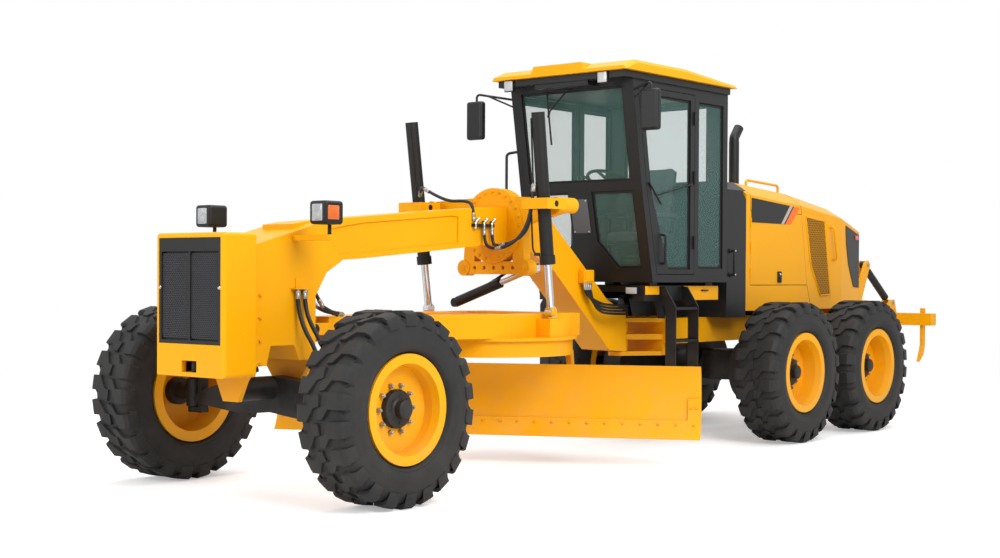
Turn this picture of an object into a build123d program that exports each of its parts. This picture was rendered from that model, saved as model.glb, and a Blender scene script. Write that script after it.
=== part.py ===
from build123d import *
import math
import os

# Six-wheel motor grader, 12 ft blade, 17.5-25 tyres. Millimetres, +X forward, +Y to the machine's left, +Z up.
# Stations along X are given from the tandem pivot; put() moves every piece to the middle of the overall length.

# ---------------------------------------------------------------- driving dimensions
wheelbase = 6300.0          # tandem pivot to front axle
tandem_spread = 1540.0      # between the rear wheel centres
track = 2260.0              # between tyre centre planes
tyre_radius = 674.0         # 17.5-25
tyre_width = 445.0
rim_radius = 380.0          # outside of the rim flange
rim_width = 385.0
circle_x = 3950.0           # circle centre
blade_length = 3660.0       # 12 ft
blade_height = 600.0
blade_angle = 28.5          # degrees from square, left end trailing
blade_ground_gap = 245.0
pivot_x = 2000.0            # articulation pin
nose_overhang = 807.0       # front axle to the front face of the nose box
ripper_rear_x = -3080.0     # back of the ripper beam
roof_top_z = 3480.0
running_gap = 6.0           # between pieces that move past each other
seat_gap = 0.3              # between fitted pieces
nose_front_x = wheelbase + nose_overhang
origin_x = (nose_front_x + ripper_rear_x) / 2

os.makedirs("parts", exist_ok=True)
nodes = {}


def put(name, shape):
    """Keep a finished piece under its node name, in the part's own frame."""
    solids = shape.solids()
    piece = solids[0] if len(solids) == 1 else Compound(children=list(solids))
    nodes[name] = Pos(-origin_x, 0, 0) * piece


def block(x0, x1, y0, y1, z0, z1):
    """Box between two corners."""
    return Pos((x0 + x1) / 2, (y0 + y1) / 2, (z0 + z1) / 2) * Box(x1 - x0, y1 - y0, z1 - z0)


def side_plate(outline, y0, y1):
    """Outline of (x, z) corners, thick along Y."""
    wire = Polyline(*[(x, y0, z) for x, z in outline], close=True)
    return extrude(make_face(wire), amount=y1 - y0, dir=(0, 1, 0))


def cross_plate(outline, x0, x1):
    """Outline of (y, z) corners, thick along X."""
    wire = Polyline(*[(x0, y, z) for y, z in outline], close=True)
    return extrude(make_face(wire), amount=x1 - x0, dir=(1, 0, 0))


def deck_plate(outline, z0, z1):
    """Outline of (x, y) corners, thick along Z."""
    wire = Polyline(*[(x, y, z0) for x, y in outline], close=True)
    return extrude(make_face(wire), amount=z1 - z0, dir=(0, 0, 1))


def rod(start, end, radius):
    """Round bar between two points."""
    a, b = Vector(*start), Vector(*end)
    return Plane(origin=a, z_dir=b - a) * Cylinder(
        radius, (b - a).length, align=(Align.CENTER, Align.CENTER, Align.MIN)
    )


def tube(start, end, outer, inner):
    """Round tube between two points."""
    return rod(start, end, outer) - rod(start, end, inner)


def turned(profile):
    """Profile of (radius, y) corners turned about Y."""
    wire = Polyline(*[(r, y, 0) for r, y in profile], close=True)
    return revolve(make_face(wire), axis=Axis.Y)


def both_sides(piece):
    """The piece with its mirror image across the machine's centre plane."""
    return piece + mirror(piece, about=Plane.XZ)


def bent_bar(points, radius, bend):
    """Round bar along straight runs joined by bends."""
    path = FilletPolyline(*points, radius=bend)
    return sweep(Plane(origin=points[0], z_dir=Vector(*points[1]) - Vector(*points[0])) * Circle(radius),
                 path=path)


# ---------------------------------------------------------------- wheels
tread_half = 185.0          # half width of the tread
lugs_a_side = 12
lug_height = 27.0
lug_half = 56.0             # half length of a lug along the tread
bead_radius = 330.0         # tyre bead seat on the rim
well_radius = 300.0         # inside of the rim barrel
disc_thick = 22.0
hub_radius = 110.0
hub_reach = 105.0           # hub cap beyond the disc
front_disc_offset = 60.0    # disc face from the wheel's centre plane, outward
rear_disc_offset = 0.0
rim_seat = bead_radius - seat_gap


def tyre_solid():
    """Faceted casing with a block lug on every facet, to one side and the other in turn."""
    bulge = tyre_width / 2
    crown = tyre_radius - lug_height
    bead_half = rim_width / 2 - 56
    half = [(bead_half, bead_radius), (bulge, tyre_radius - 190), (bulge, tyre_radius - 152),
            (tread_half, crown)]
    step = 180 / lugs_a_side
    reach = tyre_radius * math.tan(math.radians(step / 2))
    facet = cross_plate(half + [(-y, radius) for y, radius in reversed(half)], -reach, reach)
    facet &= side_plate([(0, 0), (-reach, tyre_radius), (reach, tyre_radius)], -bulge, bulge)
    lug = block(-lug_half, lug_half, 15, tread_half + 16, crown - 34, tyre_radius)
    pair = facet + lug + Rot(0, step, 0) * (facet + Rot(0, 0, 180) * lug)
    casing = pair
    for index in range(1, lugs_a_side):
        casing += Rot(0, 2 * index * step, 0) * pair
    return casing


def rim_solid(disc_offset):
    """Flanged rim with its disc and hub, as one wheel centre."""
    half = rim_width / 2
    barrel = turned([
        (well_radius, -half), (rim_radius, -half), (rim_radius, -half + 22), (rim_seat, -half + 30),
        (rim_seat, half - 30), (rim_radius, half - 22), (rim_radius, half), (well_radius + 14, half),
        (well_radius, half - 60),
    ])
    disc = turned([
        (0, disc_offset - disc_thick), (well_radius + 5, disc_offset - disc_thick),
        (well_radius + 5, disc_offset), (hub_radius, disc_offset), (hub_radius - 12, disc_offset + 40),
        (62, disc_offset + 40), (60, disc_offset + hub_reach - 12), (50, disc_offset + hub_reach),
        (0, disc_offset + hub_reach),
    ])
    return barrel + disc


def wheel_places():
    """Name, x, side and disc offset of every wheel."""
    places = []
    for side, word in ((1, "left"), (-1, "right")):
        places.append((f"front_{word}", wheelbase, side, front_disc_offset))
        places.append((f"mid_{word}", tandem_spread / 2, side, rear_disc_offset))
        places.append((f"rear_{word}", -tandem_spread / 2, side, rear_disc_offset))
    return places


tyre = tyre_solid()
for wheel, x, side, offset in wheel_places():
    place = Pos(x, side * track / 2, tyre_radius)
    centre = rim_solid(offset)
    if side < 0:
        centre = mirror(centre, about=Plane.XZ)
    put(f"tyre_{wheel}", place * tyre)
    put(f"rim_{wheel}", place * centre)

# ---------------------------------------------------------------- tandem cases and drive axle
case_radius = 285.0
case_inner_y = track / 2 - 490
case_outer_y = track / 2 - 280
axle_radius = 130.0
diff_radius = 270.0
spindle_radius = 70.0
rear_disc_back_y = track / 2 + rear_disc_offset - disc_thick    # inner face of the rear wheel discs


def tandem_case():
    """Left chain case with its two wheel spindles and the pivot collar."""
    half = tandem_spread / 2
    case = block(-half, half, case_inner_y, case_outer_y, tyre_radius - case_radius,
                 tyre_radius + case_radius)
    for x in (-half, half):
        case += rod((x, case_inner_y, tyre_radius), (x, case_outer_y, tyre_radius), case_radius)
        case += rod((x, case_outer_y, tyre_radius), (x, case_outer_y + 80, tyre_radius), 150)
        case += rod((x, case_outer_y, tyre_radius), (x, rear_disc_back_y - seat_gap, tyre_radius),
                    spindle_radius)
    case -= rod((0, case_inner_y, tyre_radius), (0, case_inner_y + 60, tyre_radius),
                axle_radius + running_gap)
    return case


case = tandem_case()
put("tandem_case_left", case)
put("tandem_case_right", mirror(case, about=Plane.XZ))

axle_end = case_inner_y + 60 - seat_gap
drive_axle = rod((0, -axle_end, tyre_radius), (0, axle_end, tyre_radius), axle_radius)
drive_axle += Pos(0, 0, tyre_radius) * Cylinder(diff_radius, 300)
drive_axle += block(-150, 150, 270, 430, tyre_radius, 950 - seat_gap)
drive_axle += block(-150, 150, -430, -270, tyre_radius, 950 - seat_gap)
put("drive_axle", drive_axle)

# ---------------------------------------------------------------- rear frame with articulation fork
rail_y = 350.0              # centre of each chassis rail
rail_half = 60.0
rail_bottom_z = 950.0
rail_top_z = 1190.0
rear_plate_x = -1900.0      # front of the rear bumper plate
bumper_thick = 100.0
fork_plate = 40.0
fork_radius = 92.0
fork_top_z = 1150.0         # under side of the uppermost fork plate
lug_height = 100.0
pin_radius = 40.0
fork_pitch = 164.0          # from one lug to the next
upper_lug_z = fork_top_z - running_gap - lug_height
lower_lug_z = upper_lug_z - fork_pitch
web_x = pivot_x - 330
lug_bottoms = (lower_lug_z, upper_lug_z)


def articulation_fork(lug_bottom):
    """Plates above and below one lug, and the pin through them."""
    top = lug_bottom + lug_height + running_gap
    low = lug_bottom - running_gap - fork_plate
    outline = [(pivot_x, -fork_radius), (pivot_x, fork_radius), (web_x + 30, 290), (web_x - 80, 290),
               (web_x - 80, -290), (web_x + 30, -290)]
    fork = deck_plate(outline, top, top + fork_plate) + deck_plate(outline, low, low + fork_plate)
    for z in (top, low):
        fork += Pos(pivot_x, 0, z + fork_plate / 2) * Cylinder(fork_radius, fork_plate)
    return fork + rod((pivot_x, 0, low), (pivot_x, 0, top + fork_plate), pin_radius)


# ripper mounting on the back of the rear frame
ripper_y = 390.0            # centre of each ripper linkage
link_half = 24.0            # half thickness of links and cylinder eyes
ear_thick = 30.0
lower_pin = (-2110.0, 660.0)
upper_pin = (-2110.0, 870.0)
mast_pin = (-2300.0, 1730.0)
link_vector = (-740.0, 340.0)
link_pin_radius = 22.0
ripper_beam_z = (1030.0, 1170.0)


def ear_pair(outline, side):
    """Two plates either side of a linkage."""
    inner = link_half + running_gap
    ears = None
    for near in (ripper_y - inner - ear_thick, ripper_y + inner):
        y0, y1 = sorted((side * near, side * (near + ear_thick)))
        plate = side_plate(outline, y0, y1)
        ears = plate if ears is None else ears + plate
    return ears


def linkage_pin(place, side, radius=link_pin_radius):
    """Pin through one ear pair."""
    reach = link_half + running_gap + ear_thick
    return rod((place[0], side * ripper_y - reach, place[1]), (place[0], side * ripper_y + reach,
                                                               place[1]), radius)


frame = both_sides(block(rear_plate_x, web_x, rail_y - rail_half, rail_y + rail_half, rail_bottom_z,
                         rail_top_z))
frame += block(rear_plate_x - bumper_thick, rear_plate_x, -600, 600, 600, 1330)
for x in (-1600, 500, 1250):
    frame += block(x - 60, x + 60, -rail_y, rail_y, rail_bottom_z + 30, rail_top_z - 30)
for low in lug_bottoms:
    frame += articulation_fork(low)
frame += block(web_x - 80, web_x, -290, 290, lower_lug_z - running_gap - fork_plate, fork_top_z + fork_plate)
mast = [(rear_plate_x - bumper_thick, 610), (lower_pin[0] - 50, 610), (upper_pin[0] - 50, 950), (-2150, 1330),
        (mast_pin[0] - 60, mast_pin[1]), (mast_pin[0] - 10, mast_pin[1] + 50), (mast_pin[0] + 60,
                                                                                mast_pin[1] + 20),
        (rear_plate_x - bumper_thick, 1330)]
for side in (-1, 1):
    frame += ear_pair(mast, side)
    for place in (lower_pin, upper_pin, mast_pin):
        frame += linkage_pin(place, side)
put("rear_frame", frame)

# ---------------------------------------------------------------- cab platform
platform_y = 600.0          # outer face of the cab platform boxes
platform_z0, platform_z1 = 1360.0, 1500.0
cab_rear_x = 1180.0
cab_floor_z = platform_z1 + 30      # the cab stands on four mounts
platform = both_sides(block(cab_rear_x + 20, 2440, 470, platform_y, platform_z0, platform_z1))
platform += block(cab_rear_x + 20, cab_rear_x + 120, -470, 470, platform_z0, platform_z1)
platform += block(2240, 2340, -470, 470, platform_z1 - 60, platform_z1)
for x in (1340, 2280):
    platform += both_sides(block(x - 60, x + 60, 480, platform_y - 10, platform_z1, cab_floor_z - seat_gap))
for x in (1330, 1900):
    strut = side_plate([(x - 100, rail_top_z + seat_gap), (x - 20, rail_top_z + seat_gap),
                        (x + 60, platform_z0), (x - 40, platform_z0)], rail_y + 20, rail_y + 50)
    strut += block(x - 60, x + 40, rail_y + 20, 480, platform_z0, platform_z0 + 40)
    platform += both_sides(strut)

# ---------------------------------------------------------------- cab
cab_half = 690.0
wall = 50.0
cab_top_z = roof_top_z - 150
cab_height = cab_top_z - cab_floor_z
knee_z = cab_floor_z + 0.456 * cab_height   # bend of the front face
cab_front = [(2440.0, cab_floor_z), (2620.0, knee_z), (2780.0, cab_top_z)]     # (x, z) up the front face
door_rear_x = 1760.0
door_gap = 6.0
pillar = 75.0               # width of the front pillar seen from the side


def cab_front_x(z):
    """Front face station at height z."""
    (x0, z0), (x1, z1), (x2, z2) = cab_front
    if z < z1:
        return x0 + (x1 - x0) * (z - z0) / (z1 - z0)
    return x1 + (x2 - x1) * (z - z1) / (z2 - z1)


def cab_outline(inset):
    """Side outline of the cab, drawn in by an inset."""
    front = [(cab_front_x(min(max(z, cab_floor_z + inset), cab_top_z - inset)) - inset,
              min(max(z, cab_floor_z + inset), cab_top_z - inset)) for x, z in cab_front]
    return front + [(cab_rear_x + inset, cab_top_z - inset), (cab_rear_x + inset, cab_floor_z + inset)]


door_z0, door_z1 = cab_floor_z + 70, cab_top_z - 60


def door_outline(inset):
    """Door outline, its front edge along the pillar."""
    z0, z1 = door_z0 + inset, door_z1 - inset
    front = [(cab_front_x(z) - pillar - inset, z) for z in (z0, knee_z, z1)]
    return [(door_rear_x + inset, z0), *front, (door_rear_x + inset, z1)]


def door_window_outline(inset):
    """Door window, cut away below along a slope to the sill."""
    z0, z1 = door_z0 + 50 + inset, door_z1 - 60 - inset
    front = [(cab_front_x(z) - pillar - 70 - inset, z) for z in (knee_z - 20, z1)]
    return [(door_rear_x + 70 + inset, z0), (door_rear_x + 430 - inset, z0), *front,
            (door_rear_x + 70 + inset, z1)]


def quarter_outline(inset):
    """Fixed window behind the door."""
    z0, z1 = cab_floor_z + 130 + inset, cab_top_z - 120 - inset
    return [(cab_rear_x + 80 + inset, z0), (door_rear_x - 70 - inset, z0), (door_rear_x - 70 - inset, z1),
            (cab_rear_x + 80 + inset, z1)]


def windscreen_outline(inset):
    """(y, z) outline of the upper front window."""
    y, z0, z1 = 575 - inset, knee_z + 90 + inset, cab_top_z - 60 - inset
    return [(-y, z0), (y, z0), (y, z1), (-y, z1)]


def foot_window_outline(inset):
    """(y, z) outline of the left lower front window."""
    z0, z1 = cab_floor_z + 130, knee_z
    return [(130 + inset, z0 + 240 + inset / 2), (330 + inset / 2, z0 + inset), (590 - inset, z0 + inset),
            (590 - inset, z1 - inset), (130 + inset, z1 - inset)]


def rear_window_outline(inset):
    """(y, z) outline of the rear window."""
    y, z0, z1 = 480 - inset, knee_z + 130 + inset, cab_top_z - 100 - inset
    return [(-y, z0), (y, z0), (y, z1), (-y, z1)]


def mirrored(outline):
    """(y, z) outline on the other side."""
    return [(-y, z) for y, z in reversed(outline)]


cab = side_plate(cab_outline(0), -cab_half, cab_half) - side_plate(cab_outline(wall), -cab_half + wall,
                                                                   cab_half - wall)
for cut in (windscreen_outline(0), foot_window_outline(0), mirrored(foot_window_outline(0))):
    cab -= cross_plate(cut, 2300, 2900)
cab -= cross_plate(rear_window_outline(0), cab_rear_x - 10, cab_rear_x + wall + 10)
cab -= side_plate(door_outline(0), -cab_half - 10, cab_half + 10)
cab -= side_plate(quarter_outline(0), -cab_half - 10, cab_half + 10)

# header band under the roof panel, stepped out over the windscreen
roof_front_x = cab_front[2][0] + 195
roof_rear_x = cab_rear_x - 60
roof_half = cab_half + 70
header_height = 55.0
cab += block(roof_rear_x + 60, roof_front_x - 45, -cab_half - 25, cab_half + 25, cab_top_z - 5,
             cab_top_z + header_height)
cab += block(roof_front_x - 175, roof_front_x - 60, -300, 300, cab_top_z - 45, cab_top_z)

# mirrors on tube arms: far out on the right, close to the pillar on the left
mirror_z = cab_top_z - 290
mirror_bar = 11.0
for x, y, arm_y in ((2917.0, -1000.0, -cab_half), (2760.0, 870.0, cab_half)):
    housing = fillet(block(x - 38, x + 38, y - 95, y + 95, mirror_z - 180, mirror_z + 180).edges(), 26)
    cab += housing
    cab += bent_bar([(2745, arm_y * 0.99, mirror_z + 190), (x - 10, y, mirror_z + 250),
                     (x - 10, y, mirror_z + 20)],
                    mirror_bar, 30)
    cab += rod((2735, arm_y * 0.99, mirror_z + 120), (x - 40, (y + arm_y) / 2 + 0.2 * (y - arm_y),
                                                      mirror_z + 235),
               mirror_bar - 3)

# grab rail ahead of the right pillar
grab_y = -cab_half - 75
cab += bent_bar([(2665, -cab_half + 8, knee_z + 400), (2745, grab_y, knee_z + 380),
                 (2745, grab_y, knee_z - 60),
                 (2640, grab_y, knee_z - 260), (2570, -cab_half + 8, knee_z - 260)], 13, 40)
put("cab_shell", cab)

# glass panes: the cab's outer skin left between its two faces, trimmed to each window
glass_set, glass_thick = 20.0, 6.0
skin = side_plate(cab_outline(glass_set), -cab_half + glass_set, cab_half - glass_set)
skin -= side_plate(cab_outline(glass_set + glass_thick), -cab_half + glass_set + glass_thick,
                   cab_half - glass_set - glass_thick)
panes = skin & cross_plate(windscreen_outline(seat_gap), 2400, 2900)
panes += skin & cross_plate(foot_window_outline(seat_gap), 2300, 2900)
panes += skin & cross_plate(mirrored(foot_window_outline(seat_gap)), 2300, 2900)
panes += skin & cross_plate(rear_window_outline(seat_gap), cab_rear_x - 10, cab_rear_x + wall + 10)
panes += skin & side_plate(quarter_outline(seat_gap), cab_half - wall, cab_half + 10)
panes += skin & side_plate(quarter_outline(seat_gap), -cab_half - 10, -cab_half + wall)
put("cab_glass", panes)

door_thick = 40.0
door = side_plate(door_outline(door_gap), cab_half - door_thick, cab_half)
door -= side_plate(door_window_outline(0), cab_half - door_thick - 5, cab_half + 5)
door_pane = side_plate(door_window_outline(seat_gap), cab_half - glass_set - glass_thick,
                       cab_half - glass_set)
hinge_x = door_rear_x + door_gap
for z in (door_z0 + 300, knee_z + 150, door_z1 - 220):
    door += rod((hinge_x + 4, cab_half + 10, z - 60), (hinge_x + 4, cab_half + 10, z + 60), 13.8)
door += bent_bar([(2300, cab_half - 5, 1700), (2300, cab_half + 40, 1700), (2300, cab_half + 40, 1960),
                  (2300, cab_half - 5, 1960)], 11, 25)
door = door + door_pane
put("cab_door_left", door)
put("cab_door_right", mirror(door, about=Plane.XZ))

# roof panel, its upper edges chamfered along both sides
roof_base_z = cab_top_z + header_height + seat_gap
roof_rim = 30.0
roof = side_plate([(roof_rear_x, roof_base_z), (roof_front_x, roof_base_z),
                   (roof_front_x, roof_base_z + roof_rim),
                   (roof_front_x - 160, roof_top_z), (2000, roof_top_z),
                   (roof_rear_x, roof_base_z + roof_rim)], -roof_half, roof_half)
visor = cross_plate([(-300, roof_base_z + 5), (300, roof_base_z + 5), (270, roof_top_z), (-270, roof_top_z)],
                    roof_front_x - 400, roof_front_x)
roof_top_edges = [edge for edge in roof.edges() if abs(abs(edge.center().Y) - roof_half) < 1
                  and edge.center().Z > roof_base_z + roof_rim + 5]
roof = chamfer(roof_top_edges, 30) + visor
put("cab_roof", roof)

# ---------------------------------------------------------------- cab inside: seat and console
seat_x = 1650.0
floor_top = cab_floor_z + wall
seat = block(seat_x - 150, seat_x + 150, -150, 150, floor_top + seat_gap, floor_top + 300)
seat += fillet(block(seat_x - 260, seat_x + 280, -250, 250, floor_top + 300, floor_top + 430).edges(), 40)
back = fillet((Rot(0, -8, 0) * Box(120, 460, 680)).edges(), 40)
seat += Pos(seat_x - 230, 0, floor_top + 740) * back
for side in (-1, 1):
    seat += block(seat_x - 200, seat_x + 180, side * 290 - 35, side * 290 + 35, floor_top + 560,
                  floor_top + 610)
    seat += block(seat_x - 40, seat_x + 20, side * 270 - 45, side * 270 + 25, floor_top + 330,
                  floor_top + 580)
put("operator_seat", seat)

column = rod((2330, 0, floor_top + 20), (2210, 0, floor_top + 820), 55)
column += block(2260, 2400, -110, 110, floor_top + seat_gap, floor_top + 60)
column += Pos(2290, 0, floor_top + 700) * (Rot(0, -12, 0) * Box(170, 520, 260))
wheel_plane = Plane(origin=(2170, 0, floor_top + 900), z_dir=(-0.45, 0, 1))
column += wheel_plane * Torus(200, 15)
column += wheel_plane * Box(30, 400, 16) + wheel_plane * Box(400, 30, 16)
column += rod((2215, 0, floor_top + 800), (2170, 0, floor_top + 900), 28)
put("steering_console", column)

# ---------------------------------------------------------------- tower between cab and hood
hood_front_x = 740.0
tower_top_z = 2430.0
tower = side_plate([(hood_front_x + seat_gap, rail_top_z + seat_gap), (1100, rail_top_z + seat_gap),
                    (1100, tower_top_z), (hood_front_x + 90, tower_top_z), (hood_front_x + seat_gap,
                                                                            tower_top_z - 90)],
                   -640, 640)
put("tower", tower)

# ---------------------------------------------------------------- engine hood
# station, half width, height of the shoulder line, height of the crown, half width of the crown
hood_stations = [(740.0, 640.0, 2400.0, 2520.0, 470.0),
                 (-360.0, 640.0, 2325.0, 2450.0, 460.0),
                 (-1300.0, 630.0, 2220.0, 2330.0, 440.0),
                 (-1850.0, 560.0, 2090.0, 2150.0, 380.0)]
hood_wall = 30.0
hood_bottom_z = 1250.0


def hood_section(x, half, shoulder, crown, top_half, inset):
    """Closed cross-section of the hood, drawn in by an inset."""
    bottom = hood_bottom_z
    y, s, c, t = half - inset, shoulder - inset * 0.6, crown - inset, top_half - inset * 0.5
    points = [(x, -y, bottom), (x, y, bottom), (x, y, s), (x, t, c), (x, -t, c), (x, -y, s)]
    return make_face(Polyline(*points, close=True))


def hood_body(inset, x_shift):
    """Ruled body through the hood's stations."""
    rows = list(hood_stations)
    first, last = rows[0], rows[-1]
    rows[0] = (first[0] - x_shift,) + first[1:]
    rows[-1] = (last[0] + x_shift,) + last[1:]
    body = None
    for row_a, row_b in zip(rows, rows[1:]):
        piece = loft([hood_section(*row_a, inset), hood_section(*row_b, inset)], ruled=True)
        body = piece if body is None else body + piece
    return body


hood_outer = hood_body(0, 0)
hood_inner = hood_body(hood_wall, hood_wall)
hood = hood_outer - hood_inner
service_z0, service_z1 = 1500.0, 2240.0
service_front_x, service_rear_x = 660.0, -380.0


def service_outline(inset):
    """Service door outline, with a sloped rear edge."""
    return [(service_front_x - inset, service_z0 + inset), (service_front_x - inset, service_z1 - inset),
            (service_rear_x + inset, service_z1 - inset), (service_rear_x - 130 + inset, service_z0 + inset)]


hood -= side_plate(service_outline(0), -900, 900)
hood_rail = [(260, 350, 2470), (260, 350, 2572), (-390, 350, 2545), (-390, 350, 2430)]
hood += both_sides(bent_bar(hood_rail, 13, 35))
hood_grip = [(-1010, 620, 2120), (-1010, 690, 2120), (-1080, 690, 1780), (-1080, 620, 1780)]
hood += both_sides(bent_bar(hood_grip, 12, 30))
put("hood_shell", hood)
service_door = hood_outer & side_plate(service_outline(door_gap), 640 - hood_wall, 700)
door_hinge = (service_front_x - 5, 646.0)
for z in (1620, 1870, 2120):
    service_door += rod((*door_hinge, z - 50), (*door_hinge, z + 50), 7.5)
latch = block(60, 110, 640, 652, service_z0 + 40, service_z0 + 130)
service_door += latch
put("service_door_left", service_door)
put("service_door_right", mirror(service_door, about=Plane.XZ))

engine = block(-1450, -350, -300, 300, rail_bottom_z + 40, 1900)
engine -= both_sides(block(-1500, -300, rail_y - rail_half - seat_gap, rail_y + 100, rail_bottom_z - 10,
                           rail_top_z + seat_gap))
engine -= block(-1361, -1239, -400, 400, rail_bottom_z, rail_top_z)
put("engine_block", engine)

exhaust_x, exhaust_y = 330.0, 250.0
exhaust = rod((exhaust_x, exhaust_y, 2485), (exhaust_x, exhaust_y, 2960), 52)
exhaust += bent_bar([(exhaust_x, exhaust_y, 2940), (exhaust_x, exhaust_y, 3000),
                     (exhaust_x - 90, exhaust_y, 3110)], 50, 60)
exhaust -= hood_outer
put("exhaust_stack", exhaust)

# ---------------------------------------------------------------- ladders
ladder_x = (1830.0, 2190.0)
ladder_y0, ladder_y1 = 670.0, 780.0
ladder_bottom_z = 640.0
rail_thick = 14.0


def ladder():
    """Left boarding ladder: two bent plate rails and three treads."""
    outline = [(platform_y + seat_gap, 1490), (platform_y + 60, 1490), (ladder_y1, 1310),
               (ladder_y1, ladder_bottom_z),
               (ladder_y0, ladder_bottom_z), (ladder_y0, 1290), (platform_y + seat_gap, 1370)]
    rails = cross_plate(outline, ladder_x[0] - rail_thick, ladder_x[0])
    rails += cross_plate(outline, ladder_x[1], ladder_x[1] + rail_thick)
    for z in (690, 985, 1280):
        rails += block(ladder_x[0], ladder_x[1], ladder_y0 + 5, ladder_y1 - 5, z, z + 25)
    return rails


platform += both_sides(ladder())
put("cab_platform", platform)

# ---------------------------------------------------------------- front frame: nose, beam and descending arm
beam_half = 160.0
nose_half = 270.0
nose_rear_x = wheelbase - 130
box_rear_x = nose_front_x - 285
ring_x = 3800.0             # saddle ring centre
ring_z = 2010.0
ring_inner = 262.0
ring_outer = 320.0
ring_half = 60.0

neck_back_x = pivot_x + fork_radius + 8
neck_bottom_z = lower_lug_z
hanger_x = (nose_rear_x, wheelbase + 400)       # rear faces of the two axle hangers
hanger_thick = 38.0
pin_z = 760.0               # front axle oscillation pin, along X
axle_pin_radius = 50.0
ball = (wheelbase - 280, 0.0, 1180.0)           # drawbar ball
ball_pin_radius = 30.0
ball_half_height = 60.0

spine = [
    (neck_back_x, 1250), (neck_back_x, neck_bottom_z), (2360, neck_bottom_z + 20), (3200, 1625), (3560, 1800),
    (3888, 1865), (4371, 1815), (wheelbase - 680, 1706), (wheelbase - 400, 1690), (wheelbase - 240, 1600),
    (nose_rear_x, 1430), (nose_rear_x, 1300), (wheelbase, 1300), (wheelbase, 1950), (wheelbase - 150, 1975),
    (wheelbase - 690, 2025), (4562, 2116), (3900, 2165),
    (3560, 2190), (3240, 2060), (2700, 1620), (2399, 1365),
]
neck = side_plate(spine, -beam_half, beam_half)
neck += side_plate([(nose_rear_x, 970), (nose_rear_x, 1430), (wheelbase - 240, 1600), (wheelbase - 400, 1690),
                    (wheelbase - 150, 1960), (wheelbase - 60, 1930), (box_rear_x - seat_gap, 1770),
                    (box_rear_x - seat_gap, 940), (wheelbase + 340, 940), (wheelbase + 300, 1080),
                    (wheelbase + 80, 1080), (wheelbase + 30, 970)], -nose_half, nose_half)
neck += rod((ring_x - ring_half, 0, ring_z), (ring_x + ring_half, 0, ring_z), ring_inner - seat_gap)
for low in lug_bottoms:
    lug = Pos(pivot_x, 0, low + lug_height / 2) * Cylinder(fork_radius, lug_height)
    lug += block(pivot_x, neck_back_x + 5, -fork_radius, fork_radius, low, low + lug_height)
    neck += lug - Pos(pivot_x, 0, low + lug_height / 2) * Cylinder(pin_radius + seat_gap, lug_height + 2)
for x in hanger_x:
    neck += cross_plate([(-80, 680), (80, 680), (155, 830), (nose_half, 975), (-nose_half, 975), (-155, 830)],
                        x, x + hanger_thick)
neck += rod((hanger_x[0], 0, pin_z), (hanger_x[1] + hanger_thick, 0, pin_z), axle_pin_radius)
for z in (ball[2] - ball_half_height - running_gap - 30, ball[2] + ball_half_height + running_gap):
    neck += block(ball[0] - 55, nose_rear_x + 5, -60, 60, z, z + 30)
neck += rod((ball[0], 0, ball[2] - 90), (ball[0], 0, ball[2] + 90), ball_pin_radius)
web_pocket = [(4480, 1850), (wheelbase - 740, 1752), (wheelbase - 440, 1735), (wheelbase - 280, 1790),
              (wheelbase - 400, 1930), (wheelbase - 720, 1980), (4560, 2068), (4480, 2062)]
neck -= both_sides(side_plate(web_pocket, beam_half - 14, beam_half + 5))
put("gooseneck", neck)

# nose box with its grille
box_half = 370.0
box_z0, box_z1 = 875.0, 1870.0
grille_half, grille_z0, grille_z1 = 332.0, 1100.0, 1835.0
box_wall = 30.0
tow_bore_radius = 22.0
nose_box = block(box_rear_x, nose_front_x, -box_half, box_half, box_z0, box_z1)
outer_edges = [edge for edge in nose_box.edges() if edge.center().X > box_rear_x + 5
               and (edge.center().Z > box_z1 - 1 or abs(abs(edge.center().Y) - box_half) < 1)]
nose_box = fillet(outer_edges, 28)
nose_box -= block(box_rear_x + box_wall, nose_front_x - 40, -box_half + box_wall, box_half - box_wall,
                  box_z0 + box_wall, box_z1 - box_wall)
nose_box -= block(nose_front_x - 60, nose_front_x + 10, -grille_half, grille_half, grille_z0, grille_z1)
tow_x = nose_front_x - 52
nose_box -= block(nose_front_x - 100, nose_front_x + 10, -80, 80, box_z0 + box_wall, box_z0 + 110)
nose_box -= Pos(tow_x, 0, box_z0) * Cylinder(tow_bore_radius, 4 * box_wall)
put("nose_box", nose_box)
grille = block(nose_front_x - 40, nose_front_x - 2, -grille_half + seat_gap, grille_half - seat_gap,
               grille_z0 + seat_gap, grille_z1 - seat_gap)
grille_border, grille_top_strip = 26.0, 95.0
for y0, y1 in ((-grille_half + grille_border, -9), (9, grille_half - grille_border)):
    grille -= block(nose_front_x - 26, nose_front_x, y0, y1, grille_z0 + grille_border,
                    grille_z1 - grille_top_strip)
put("nose_grille", grille)

# headlamps on brackets from the beam
lamp_x, lamp_y, lamp_z = wheelbase + 100, 620.0, 1935.0
lamp = fillet(block(lamp_x - 90, lamp_x + 90, lamp_y - 85, lamp_y + 85, lamp_z, lamp_z + 165).edges(), 24)
lamp += rod((lamp_x - 30, lamp_y, lamp_z - 70), (lamp_x - 30, lamp_y, lamp_z + 10), 14)
lamp += block(lamp_x - 60, lamp_x, nose_half + seat_gap, lamp_y + 30, lamp_z - 110, lamp_z - 70)
put("headlamps", both_sides(lamp))

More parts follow.
